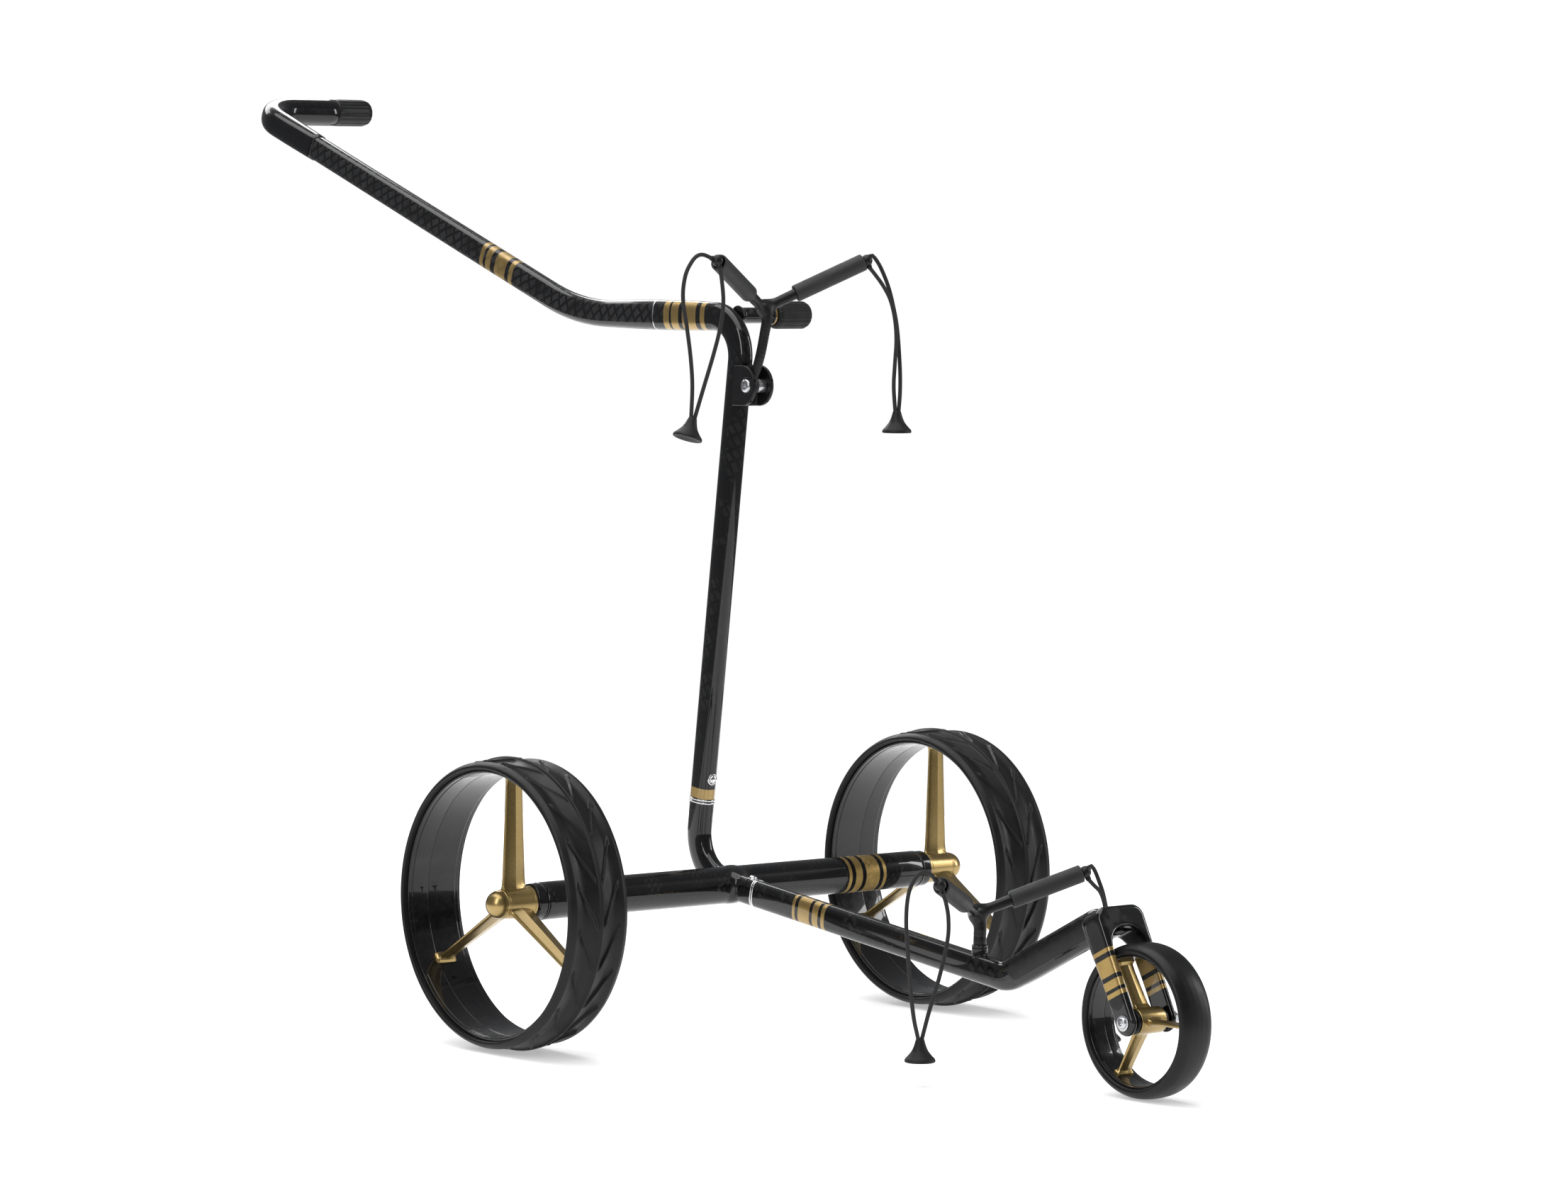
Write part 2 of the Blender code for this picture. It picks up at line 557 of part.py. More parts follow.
UPPER_LEFT_ROUTES = {
    "outer": ((-0.1025, -0.0890, 0.7795), (-0.1100, -0.0875, 0.7825), (-0.1180, -0.0880, 0.7820),
              (-0.1265, -0.0890, 0.7760), (-0.1355, -0.0900, 0.7620), (-0.1395, -0.0915, 0.7400),
              (-0.1345, -0.0920, 0.7100),
              (-0.1300, -0.0920, 0.6830), (-0.1275, -0.0920, 0.6550), (-0.1287, -0.0920, 0.6235)),
    "inner": ((-0.0974, -0.0965, 0.7699), (-0.0955, -0.0975, 0.7580), (-0.0925, -0.0965, 0.7350),
              (-0.0950, -0.0945, 0.7100), (-0.1020, -0.0930, 0.6840), (-0.1140, -0.0920, 0.6500),
              (-0.1244, -0.0920, 0.6220))}
UPPER_RIGHT_ROUTES = {
    "outer": ((0.1033, -0.0894, 0.7812), (0.1070, -0.0886, 0.7820), (0.1127, -0.0887, 0.7770),
              (0.1190, -0.0895, 0.7675), (0.1275, -0.0900, 0.7505), (0.1335, -0.0905, 0.7320),
              (0.1385, -0.0915, 0.7080), (0.1420, -0.0920, 0.6700), (0.1425, -0.0920, 0.6450),
              (0.1408, -0.0920, 0.6248)),
    "inner": ((0.0991, -0.0944, 0.7693), (0.1045, -0.0960, 0.7630), (0.1150, -0.0970, 0.7510),
              (0.1240, -0.0975, 0.7370), (0.1300, -0.0975, 0.7180), (0.1330, -0.0965, 0.6970),
              (0.1335, -0.0940, 0.6720), (0.1335, -0.0925, 0.6500), (0.1362, -0.0920, 0.6248))}
LOWER_LEFT_ROUTES = {
    "outer": ((-0.0987, -0.4258, 0.1961), (-0.1060, -0.4255, 0.2020), (-0.1150, -0.4260, 0.2035),
              (-0.1250, -0.4265, 0.1970), (-0.1330, -0.4270, 0.1820), (-0.1355, -0.4275, 0.1550),
              (-0.1315, -0.4275, 0.1130), (-0.1260, -0.4275, 0.0700), (-0.1193, -0.4275, 0.0448)),
    "inner": ((-0.0940, -0.4317, 0.1828), (-0.0905, -0.4325, 0.1740), (-0.0865, -0.4320, 0.1580),
              (-0.0865, -0.4310, 0.1370), (-0.0945, -0.4290, 0.1030), (-0.1065, -0.4280, 0.0700),
              (-0.1147, -0.4275, 0.0448))}
LOWER_RIGHT_ROUTES = {
    "outer": ((0.1002, -0.4258, 0.1940), (0.1036, -0.4250, 0.1952), (0.1085, -0.4247, 0.1903),
              (0.1135, -0.4248, 0.1810), (0.1200, -0.4255, 0.1650), (0.1250, -0.4265, 0.1400),
              (0.1265, -0.4275, 0.1050), (0.1262, -0.4275, 0.0700), (0.1253, -0.4275, 0.0448)),
    "inner": ((0.0957, -0.4304, 0.1825), (0.1010, -0.4320, 0.1770), (0.1100, -0.4325, 0.1685),
              (0.1165, -0.4325, 0.1500), (0.1190, -0.4315, 0.1200), (0.1195, -0.4300, 0.0900),
              (0.1195, -0.4285, 0.0650), (0.1207, -0.4275, 0.0448))}


def make_upper_bracket():
    pin = CLEVIS_PIN
    stem = [pin + Vector((-0.0054, -0.0005, 0.0030)), pin + Vector((-0.0041, -0.0045, 0.0150)),
            pin + Vector((-0.0025, -0.0095, 0.0320)), pin + Vector((-0.0010, -0.0135, 0.0520)),
            pin + Vector((0.0, -0.0175, 0.0700)), UPPER_FORK]
    stem_radii = [0.0032, 0.0047, 0.0052, 0.0056, 0.0066, 0.0078]
    make_yoke("upper_yoke", UPPER_FORK, UPPER_TIP, stem, stem_radii, pin, eye=pin)
    make_sleeves("upper", UPPER_FORK, UPPER_TIP, pin)
    make_cords("upper", "left", UPPER_LEFT_ROUTES, (-0.1268, -0.0920, 0.6220), (-0.330, 0.0, -0.944), pin)
    make_cords("upper", "right", UPPER_RIGHT_ROUTES, (0.1385, -0.0920, 0.6240), (0.0, 0.0, -1.0), pin)


def make_lower_bracket():
    foot = Vector((0.0, LOWER_STEM_Y, 0.0))
    base = 0.1220
    pivot = foot + Z * base
    stem = [foot + Z * height for height in (base - 0.0065, base, base, 0.1300, 0.1400)] + [LOWER_FORK]
    stem_radii = [0.0036, 0.0036, 0.0066, 0.0064, 0.0068, 0.0080]
    make_yoke("lower_yoke", LOWER_FORK, LOWER_TIP, stem, stem_radii, pivot)
    make_sleeves("lower", LOWER_FORK, LOWER_TIP, pivot)
    make_cords("lower", "left", LOWER_LEFT_ROUTES, (-0.1170, -0.4275, 0.0440), (0.0, 0.0, -1.0), pivot)
    make_cords("lower", "right", LOWER_RIGHT_ROUTES, (0.1230, -0.4275, 0.0440), (0.0, 0.0, -1.0), pivot)
    seat = place("lower_yoke_socket", turned([(0.1000, 0.0078), (0.1195, 0.0078), (base - GAP, 0.0072)],
                                             foot, Z, SMALL_SIDES), PLASTIC)
    level = (LOWER_STEM_Y * FRONT_AHEAD.z / FRONT_AHEAD.y) + AXLE_HEIGHT
    middle = foot + Z * level
    room = (TUBE[0] + 2.0 * GAP, TUBE[1] + 2.0 * GAP)
    run = [(middle + FRONT_AHEAD * reach, FRONT_AHEAD) for reach in (-0.03, 0.03)]
    tube_room = guide("socket_tube_room", loft(tube_loops(run, [room, room])))
    stem_room = guide("socket_stem_room", turned(
        [(base - 0.0070, 0.0040), (base + 0.01, 0.0040)], foot, Z, SMALL_SIDES))
    cut(seat, tube_room, stem_room)


# ---------------------------------------------------------------- front frame
def make_front_frame():
    joint = front_tube_point(FRONT_JOINT)
    beam_end = FRONT_AXLE + LEG_UP * BEAM_LEVEL - LEG_AHEAD * (FORK_WIDTH / 2.0 + GAP)
    corner = front_tube_point(BEAM_CORNER)
    path = bent_line([front_tube_point(FRONT_JOINT + 0.0026), corner, beam_end], [0.034], math.radians(7.0))
    path[-1] = (beam_end, LEG_AHEAD)
    sizes = [TUBE, TUBE] + [BEAM] * (len(path) - 2)
    for k in range(2, len(path) - 2):
        share = (k - 1) / (len(path) - 3)
        sizes[k] = between(TUBE, BEAM, share)
    outside = list(reversed(tube_loops(path, sizes)))
    spigot_size = shrink(TUBE, WALL + SPIGOT_PLAY)
    root, tip = front_tube_point(FRONT_JOINT + 0.0026), front_tube_point(FRONT_JOINT - FRONT_SPIGOT)
    spigot = tube_loops([(root, FRONT_AHEAD), (tip, FRONT_AHEAD)], [spigot_size, spigot_size])
    bore = shrink(spigot_size, WALL)
    inside = tube_loops([(tip, FRONT_AHEAD), (front_tube_point(0.36), FRONT_AHEAD)], [bore, bore])
    beam = place("front_beam", loft(outside + spigot + inside), CARBON, joint)
    hole = guide("beam_button_hole", turned(
        [(0.004, 0.0046), (0.03, 0.0046)], front_tube_point(FRONT_BUTTON), FRONT_TOP, SMALL_SIDES))
    cut(beam, hole)
    make_ring("front_tube_ring", joint, FRONT_AHEAD, 0.00015, 0.0023, shrink(TUBE, WALL), joint)
    make_fork()


def make_fork():
    """An inverted U whose legs stand either side of the front wheel."""
    def at(across, up):
        return FRONT_AXLE + X * across + LEG_UP * up

    def outline(corner):
        points = [at(LEG_OUTSIDE, -0.0150)]
        points += arc(at(LEG_OUTSIDE - corner, FORK_HEIGHT - corner), X, LEG_UP, corner, 0.0, 90.0, 4)
        points += arc(at(-LEG_OUTSIDE + corner, FORK_HEIGHT - corner), X, LEG_UP, corner, 90.0, 180.0, 4)
        points += [at(-LEG_OUTSIDE, -0.0150), at(-LEG_INSIDE, -0.0150)]
        points += arc(at(0.0, ARCH_TOP - LEG_INSIDE), X, LEG_UP, LEG_INSIDE, 180.0, 0.0, 10)
        return points + [at(LEG_INSIDE, -0.0150)]

    half = FORK_WIDTH / 2.0
    rear = [point - LEG_AHEAD * half for point in outline(0.0070)]
    front = [point + LEG_AHEAD * half for point in outline(0.0150)]
    fork = place("front_fork", loft([rear, front]), CARBON, front_tube_point(FRONT_JOINT))
    beam_face = at(0.0, BEAM_LEVEL) - LEG_AHEAD * half
    saddle = [oval(beam_face, X, LEG_UP, BEAM),
              oval(beam_face + LEG_AHEAD * 0.0150 - LEG_UP * 0.0070, X, LEG_UP, (0.0190, 0.0240))]
    side = [FRONT_AXLE - LEG_AHEAD * half + LEG_UP * 0.08, FRONT_AXLE - LEG_AHEAD * half + LEG_UP * 0.13,
            FRONT_AXLE + LEG_AHEAD * half + LEG_UP * 0.13, FRONT_AXLE + LEG_AHEAD * half + LEG_UP * 0.08]
    side += arc(FRONT_AXLE, LEG_AHEAD, LEG_UP, 0.0121, 0.0, -180.0, 12)
    combine(fork, guide("fork_side_shape", extruded(side, X, -0.04, 0.04)), "INTERSECT")
    join(fork, guide("fork_saddle", loft(saddle)))
    hole = guide("fork_bolt_hole", turned(
        [(-0.05, BOLT_RADIUS + GAP), (0.05, BOLT_RADIUS + GAP)], FRONT_AXLE, X, SMALL_SIDES))
    cut(fork, hole)
    soften = fork.modifiers.new("edge_rounding", "BEVEL")
    soften.width = 0.0025
    soften.segments = 1
    soften.limit_method = "ANGLE"
    soften.angle_limit = math.radians(50.0)

    outer = LEG_OUTSIDE + GAP
    pivot = front_tube_point(FRONT_JOINT)
    bolt = [(-outer - 0.0036, 0.0035), (-outer - 0.0030, 0.0052), (-outer - 0.0010, 0.0057),
            (-outer - 0.0010, 0.0077), (-outer, 0.0077), (-outer, BOLT_RADIUS), (outer + 0.0080, BOLT_RADIUS)]
    place("front_axle_bolt", turned(bolt, FRONT_AXLE, X, SMALL_SIDES), STEEL, pivot)
    nut = [(outer, 0.0077), (outer + 0.0010, 0.0077), (outer + 0.0010, 0.0065), (outer + 0.0062, 0.0065),
           (outer + 0.0068, 0.0058), (outer + 0.0068, BOLT_RADIUS + GAP), (outer, BOLT_RADIUS + GAP)]
    place("front_axle_nut", turned(nut, FRONT_AXLE, X, SMALL_SIDES, ring=True), STEEL, pivot)
    for name, sign in (("left", -1.0), ("right", 1.0)):
        spacer = [(0.0140, 0.0112), (0.0190, 0.0112), (0.0200, 0.0085), (LEG_INSIDE - GAP, 0.0085),
                  (LEG_INSIDE - GAP, BOLT_RADIUS + GAP), (0.0140, BOLT_RADIUS + GAP)]
        place(f"front_wheel_{name}_spacer", turned(spacer, FRONT_AXLE, X * sign, SMALL_SIDES, ring=True),
              BLACK_METAL, pivot)


# ---------------------------------------------------------------- wheels
def spoke(axle, sign, middle, angle, stations):
    """A tapering hexagonal spoke; stations are (radius, width along the axle, thickness, edge thickness)."""
    outward = Vector((0.0, math.cos(angle), math.sin(angle)))
    sideways = X.cross(outward)
    loops = []
    for radius, width, thick, edge in stations:
        centre = axle + X * (sign * middle) + outward * radius
        half = width / 2.0
        loops.append([centre + X * a + sideways * b for a, b in (
            (half, edge / 2.0), (0.0, thick / 2.0), (-half, edge / 2.0),
            (-half, -edge / 2.0), (0.0, -thick / 2.0), (half, -edge / 2.0))])
    return loft(loops)


def make_rear_wheel(side, sign):
    out = X * sign
    half = REAR_WHEEL_WIDTH / 2.0
    steps = REAR_WHEEL_STEPS
    reach = 1.0 / math.cos(math.pi / steps)
    flank = [(half, 0.1333), (half + REAR_TYRE_BULGE - 0.0010, 0.1338), (half + REAR_TYRE_BULGE, 0.1360),
             (half + 0.0024, 0.1394), (half - 0.0026, 0.1408), (0.0050, REAR_RADIUS)]
    tyre = [(-along, radius) for along, radius in flank] + list(reversed(flank))
    tyre = [(REAR_WHEEL_MIDDLE + along, radius * reach) for along, radius in tyre]
    place(f"{side}_wheel_tyre", turned(tyre, AXLE, out, steps, ring=True), TYRE, AXLE)
    inner, outer = REAR_WHEEL_MIDDLE - half + 0.0010, REAR_WHEEL_MIDDLE + half - 0.0010
    drum = [(inner, REAR_DRUM_RADIUS), (inner, 0.1330), (outer, 0.1330), (outer, REAR_DRUM_RADIUS)]
    drum = [(along, radius * reach) for along, radius in drum]
    place(f"{side}_wheel_drum", turned(drum, AXLE, out, steps, ring=True), GLOSS, AXLE)

    hub_in, hub_out, hub_radius = 0.2563, 0.2920, 0.0145
    hub = [(hub_in, hub_radius - 0.0005), (hub_in + 0.0006, hub_radius), (hub_out - 0.0006, hub_radius)]
    dome = 0.0142
    for degrees in (4.0, 30.0, 56.0, 82.0):
        angle = math.radians(degrees)
        hub.append((hub_out + dome * math.sin(angle), dome * math.cos(angle)))
    spider = place(f"{side}_wheel_spider", turned(hub, AXLE, out, ROUND_SIDES), GOLD, AXLE)
    stations = [(0.0060, 0.0280, 0.0080, 0.0034), (0.0300, 0.0262, 0.0080, 0.0034),
                (0.1180, 0.0196, 0.0062, 0.0026), (0.1255, 0.0200, 0.0066, 0.0030),
                (0.1276, 0.0250, 0.0120, 0.0100), (0.1296, 0.0250, 0.0120, 0.0100)]
    for number in range(3):
        shape = spoke(AXLE, sign, 0.2755, math.radians(90.0 + 120.0 * number), stations)
        join(spider, guide(f"{side}_spoke_{number}", shape))
    bore = [(0.25, 0.0113), (0.2625, 0.0113), (0.2625, PIN_RADIUS + GAP), (0.2970, PIN_RADIUS + GAP)]
    pocket = guide(f"{side}_hub_bore", turned(bore, AXLE, out, ROUND_SIDES))
    cut(spider, pocket)
    bearing = [(0.2566, 0.0110), (0.2622, 0.0110), (0.2622, PIN_RADIUS + GAP), (0.2566, PIN_RADIUS + GAP)]
    place(f"{side}_wheel_bearing", turned(bearing, AXLE, out, ROUND_SIDES, ring=True), STEEL, AXLE)
    pin = [(0.1900, PIN_RADIUS - 0.001), (0.1910, PIN_RADIUS), (0.2950, PIN_RADIUS),
           (0.2960, PIN_RADIUS - 0.001)]
    place(f"{side}_axle_pin", turned(pin, AXLE, out, SMALL_SIDES), STEEL, AXLE)
    collar = [(0.2433, 0.0180), (0.2440, 0.0186), (0.2550, 0.0186), (0.2560, 0.0180),
              (0.2560, PIN_RADIUS + GAP), (0.2433, PIN_RADIUS + GAP)]
    place(f"{side}_axle_collar", turned(collar, AXLE, out, ROUND_SIDES, ring=True), GLOSS, AXLE)


def make_front_wheel():
    steps = FRONT_WHEEL_STEPS
    reach = 1.0 / math.cos(math.pi / steps)
    half = FRONT_TYRE_WIDTH / 2.0
    drum_half = FRONT_DRUM_WIDTH / 2.0
    side = [(drum_half, 0.0626), (half, 0.0660), (half - 0.0040, 0.0712), (half - 0.0150, 0.0734)]
    tyre = [(-along, radius) for along, radius in side] + list(reversed(side))
    tyre = [(along, radius * reach) for along, radius in tyre]
    place("front_wheel_tyre", turned(tyre, FRONT_AXLE, X, steps, ring=True), TYRE, FRONT_AXLE)
    drum = [(-drum_half, FRONT_DRUM_RADIUS), (-drum_half, 0.0623), (drum_half, 0.0623),
            (drum_half, FRONT_DRUM_RADIUS)]
    drum = [(along, radius * reach) for along, radius in drum]
    place("front_wheel_drum", turned(drum, FRONT_AXLE, X, steps, ring=True), GLOSS, FRONT_AXLE)

    hub = [(-0.0155, 0.0120), (-0.0150, 0.0125), (0.0150, 0.0125), (0.0155, 0.0120)]
    spider = place("front_wheel_spider", turned(hub, FRONT_AXLE, X, ROUND_SIDES, turn=0.2), GOLD, FRONT_AXLE)
    stations = [(0.0072, 0.0190, 0.0060, 0.0036), (0.0200, 0.0180, 0.0060, 0.0034),
                (0.0540, 0.0160, 0.0050, 0.0030), (0.0580, 0.0165, 0.0052, 0.0034),
                (0.0590, 0.0200, 0.0090, 0.0080), (0.0603, 0.0200, 0.0090, 0.0080)]
    for number in range(3):
        shape = spoke(FRONT_AXLE, 1.0, 0.0, math.radians(60.0 + 120.0 * number), stations)
        join(spider, guide(f"front_spoke_{number}", shape))
    bore = [(-0.02, 0.0115), (-0.0137, 0.0115), (-0.0137, BOLT_RADIUS + GAP), (0.0137, BOLT_RADIUS + GAP),
            (0.0137, 0.0115), (0.02, 0.0115)]
    cut(spider, guide("front_hub_bore", turned(bore, FRONT_AXLE, X, ROUND_SIDES)))


# ---------------------------------------------------------------- build
for old in list(bpy.data.objects):
    bpy.data.objects.remove(old, do_unlink=True)

GUIDE = finish("guide", (0.8, 0.2, 0.8), 0.5)
CARBON = finish("gloss_carbon", (0.012, 0.012, 0.013), 0.12)
GLOSS = finish("gloss_black", (0.010, 0.010, 0.011), 0.10)
BLACK_METAL = finish("black_anodised_metal", (0.020, 0.020, 0.022), 0.30, 0.6)
PLASTIC = finish("satin_black_plastic", (0.030, 0.030, 0.032), 0.42)
RUBBER = finish("grey_black_rubber", (0.045, 0.046, 0.048), 0.65)
TYRE = finish("tyre_rubber", (0.028, 0.028, 0.030), 0.72)
CORD = finish("braided_elastic", (0.030, 0.028, 0.030), 0.80)
GOLD = finish("gold_paint", (0.400, 0.270, 0.085), 0.32, 0.8)
CHROME = finish("chrome", (0.75, 0.75, 0.76), 0.10, 1.0)
STEEL = finish("stainless_steel", (0.55, 0.55, 0.56), 0.25, 1.0)

make_chassis()
make_mast()
make_upper_bracket()
make_handle()
make_front_frame()
make_lower_bracket()
make_rear_wheel("left", -1.0)
make_rear_wheel("right", 1.0)
make_front_wheel()
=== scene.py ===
"""The looks of a three-wheel golf push trolley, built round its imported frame."""
import json
import math

import bpy
import numpy as np
from mathutils import Matrix, Vector


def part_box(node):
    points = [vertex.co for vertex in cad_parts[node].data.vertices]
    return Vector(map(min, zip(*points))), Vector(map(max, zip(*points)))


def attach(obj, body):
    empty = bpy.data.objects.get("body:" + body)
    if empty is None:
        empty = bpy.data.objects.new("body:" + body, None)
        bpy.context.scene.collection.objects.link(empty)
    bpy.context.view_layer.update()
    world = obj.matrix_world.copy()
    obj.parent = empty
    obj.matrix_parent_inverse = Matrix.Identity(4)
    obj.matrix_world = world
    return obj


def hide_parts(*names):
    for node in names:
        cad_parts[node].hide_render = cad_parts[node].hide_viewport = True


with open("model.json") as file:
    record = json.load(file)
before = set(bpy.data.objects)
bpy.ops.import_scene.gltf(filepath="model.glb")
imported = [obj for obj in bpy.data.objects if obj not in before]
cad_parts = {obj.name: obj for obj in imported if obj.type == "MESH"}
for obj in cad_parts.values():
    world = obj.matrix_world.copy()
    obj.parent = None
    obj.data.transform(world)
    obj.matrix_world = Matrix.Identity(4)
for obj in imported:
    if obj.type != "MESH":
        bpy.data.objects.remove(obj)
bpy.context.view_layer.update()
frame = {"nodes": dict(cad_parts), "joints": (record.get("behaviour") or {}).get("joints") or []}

# ---------------------------------------------------------------- places, from the frame
JOINTS = {joint["name"]: joint for joint in frame["joints"]}


def joint_place(name):
    return np.array(JOINTS[name]["pos_m"], float)


def joint_axis(name):
    axis = np.array(JOINTS[name]["axis"], float)
    return axis / np.linalg.norm(axis)


RIGHT_HUB = joint_place("right_wheel_spin")
AXLE = RIGHT_HUB * (0.0, 1.0, 1.0)
FRONT_AXLE = joint_place("front_wheel_spin") * (0.0, 1.0, 1.0)
PIN = joint_place("upper_bracket_fold") * (0.0, 1.0, 1.0)
WHEEL_MIDDLE = RIGHT_HUB[0]
X, Y, Z = np.eye(3)
MAST_UP = joint_axis("mast_pull_off")
MAST_FRONT = -joint_axis("mast_button_press")
FRONT_AHEAD = joint_axis("front_frame_pull_off")
FRONT_TOP = -joint_axis("front_button_press")


def cart(x, y, z):
    """A point given from the floor under the middle of the rear axle."""
    return np.array((x, y + AXLE[1], z), float)


def unit(vector):
    vector = np.asarray(vector, float)
    return vector / np.linalg.norm(vector)


# ---------------------------------------------------------------- driving sizes
TUBE = np.array((0.0186, 0.0274))
TOP_TUBE = np.array((0.0205, 0.0303))
BEAM = np.array((0.0205, 0.032))
WALL = 0.002
PLAY = 0.0004
OVAL = 2.7
OVAL_SIDES = 64
SIDES = (("left", -1.0), ("right", 1.0))
AXLE_RADIUS = 0.0188
AXLE_HALF = 0.243
AXLE_BORE = 0.0163
SPIGOT = TUBE - 2.0 * (WALL + PLAY)
JOINT_GAP = 0.0026
REAR_DRUM = 0.13
REAR_HALF = 0.0316
FRONT_DRUM = 0.0606
CORD = 0.004
MAST_JOINT = cart(0.0, 0.046, 0.2274)
MAST_BUTTON = 0.0238
FRONT_JOINT = 0.044
FRONT_BUTTON = 0.0345
TOP_HEIGHT = 0.7195
HANDLE_JOINT = cart(0.0, 0.1198, TOP_HEIGHT)
HANDLE_TILT = math.radians(20.13)
HANDLE_BACK = np.array((0.0, math.cos(HANDLE_TILT), math.sin(HANDLE_TILT)))
HANDLE_TOP = np.array((0.0, -math.sin(HANDLE_TILT), math.cos(HANDLE_TILT)))
HANDLE_CORNER = cart(0.0, 0.2523, TOP_HEIGHT - 0.0005)
GRIP_SEAM = 0.499
GRIP_LINE = 0.6205
GRIP_BEND = 0.043
GRIP_REACH = 0.1
GRIP_DIAMETER = 0.0294
FORK_RAKE = math.radians(26.6)
LEG_UP = np.array((0.0, math.sin(FORK_RAKE), math.cos(FORK_RAKE)))
LEG_AHEAD = np.array((0.0, -math.cos(FORK_RAKE), math.sin(FORK_RAKE)))
FORK_WIDTH = 0.026
FORK_HEIGHT = 0.112
LEG_OUTSIDE = 0.0293
LEG_INSIDE = 0.0225
ARCH_TOP = 0.0912
BEAM_LEVEL = 0.1083
BEAM_CORNER = 0.4238
UPPER_FORK = cart(0.0, -0.0466, 0.7284)
UPPER_TIP = cart(0.0966, -0.0919, 0.7769)
LOWER_FORK = cart(0.0, -0.3745, 0.1515)
LOWER_TIP = cart(0.0932, -0.4275, 0.19)
LOWER_FOOT = cart(0.0, -0.38, 0.0)
BARE_ARM = 0.036
BALL_RADIUS = 0.006
ARM_CORE = 0.0056
ARM_END = BARE_ARM + 0.004
STEM_TOP_SHARE = 0.75
EYE_SIDE = 0.00535
EYE_HALF = 0.00355


# ---------------------------------------------------------------- camera, floor and light
ROOM_LIGHT = 0.17
FLOOR_GLOW = 0.4
LIGHTS = {"overhead": ((-0.4, 0.1, 3.6), (0.0, 0.0, 0.4), (4.5, 3.6), 130.0),
          "key": ((-3.1, -1.2, 2.0), (0.0, -0.1, 0.4), (0.7, 2.6), 44.0),
          "fill": ((3.0, -1.9, 1.4), (0.0, -0.1, 0.4), (0.5, 2.2), 34.0),
          "rim": ((0.6, 3.2, 2.4), (0.0, 0.0, 0.4), (3.0, 1.2), 50.0)}
CAMERA_TURN, CAMERA_LIFT, CAMERA_ROLL = np.radians((-39.84, 3.67, 0.39)).tolist()
CAMERA_PLACE = cart(-3.81317, -4.65204, 0.82705)
SENSOR_WIDTH = 36.0
LENS = 137.08
FLOOR_RADIUS = 2.1
FLOOR_LEVEL = -0.0005
FLOOR_SIDES = 96


def make_camera():
    """Looks from the front left, slightly above the axle, through a long lens."""
    turn, lift, roll = CAMERA_TURN, CAMERA_LIFT, CAMERA_ROLL
    back = Vector((math.sin(turn) * math.cos(lift), -math.cos(turn) * math.cos(lift), math.sin(lift)))
    level = Vector((math.cos(turn), math.sin(turn), 0.0))
    upright = back.cross(level)
    side = level * math.cos(roll) + upright * math.sin(roll)
    top = upright * math.cos(roll) - level * math.sin(roll)
    data = bpy.data.cameras.new("camera")
    data.sensor_width = SENSOR_WIDTH
    data.lens = LENS
    camera = bpy.data.objects.new("camera", data)
    bpy.context.scene.collection.objects.link(camera)
    place = Matrix((side, top, back)).transposed().to_4x4()
    place.translation = Vector(CAMERA_PLACE)
    camera.matrix_world = place
    bpy.context.scene.camera = camera


def area_light(name, place, target, size, watts):
    """A soft rectangular light that faces its target."""
    data = bpy.data.lights.new(name, "AREA")
    data.shape = "RECTANGLE"
    data.size, data.size_y = size
    data.energy = watts
    light = bpy.data.objects.new(name, data)
    bpy.context.scene.collection.objects.link(light)
    light.location = place
    light.rotation_euler = (Vector(target) - Vector(place)).to_track_quat("-Z", "Y").to_euler()


def make_studio():
    """A white backdrop for the camera, a dimmer room for the rest, four soft lights and a pale floor."""
    world = bpy.data.worlds.new("studio")
    bpy.context.scene.world = world
    world.use_nodes = True
    tree = world.node_tree
    backdrop = tree.nodes["Background"]
    backdrop.inputs["Color"].default_value = (1.0, 1.0, 1.0, 1.0)
    backdrop.inputs["Strength"].default_value = 1.0
    room = tree.nodes.new("ShaderNodeBackground")
    room.inputs["Color"].default_value = (0.95, 0.97, 1.0, 1.0)
    room.inputs["Strength"].default_value = ROOM_LIGHT
    rays = tree.nodes.new("ShaderNodeLightPath")
    share = tree.nodes.new("ShaderNodeMixShader")
    tree.links.new(rays.outputs["Is Camera Ray"], share.inputs[0])
    tree.links.new(room.outputs[0], share.inputs[1])
    tree.links.new(backdrop.outputs[0], share.inputs[2])
    tree.links.new(share.outputs[0], tree.nodes["World Output"].inputs["Surface"])
    bpy.context.scene.view_settings.view_transform = "Standard"
    for name, setting in LIGHTS.items():
        area_light(name, *setting)
    turn = 2.0 * math.pi * np.arange(FLOOR_SIDES) / FLOOR_SIDES
    rim = np.stack((np.cos(turn) * FLOOR_RADIUS, np.sin(turn) * FLOOR_RADIUS,
                    np.full(FLOOR_SIDES, FLOOR_LEVEL)), 1)
    mesh = bpy.data.meshes.new("floor")
    mesh.from_pydata(rim.tolist(), [], [tuple(range(FLOOR_SIDES))])
    floor = bpy.data.objects.new("floor", mesh)
    bpy.context.scene.collection.objects.link(floor)
    paint = Paint("floor_paint", (0.92, 0.92, 0.92), 0.75)
    grain = paint.noise(2.0, 3.0)
    paint.link("Base Color", paint.mix(grain, (0.9, 0.9, 0.9), (0.94, 0.94, 0.94)))
    paint.set("Emission Color", (1.0, 1.0, 1.0, 1.0))
    paint.set("Emission Strength", FLOOR_GLOW)
    mesh.materials.append(paint.material)


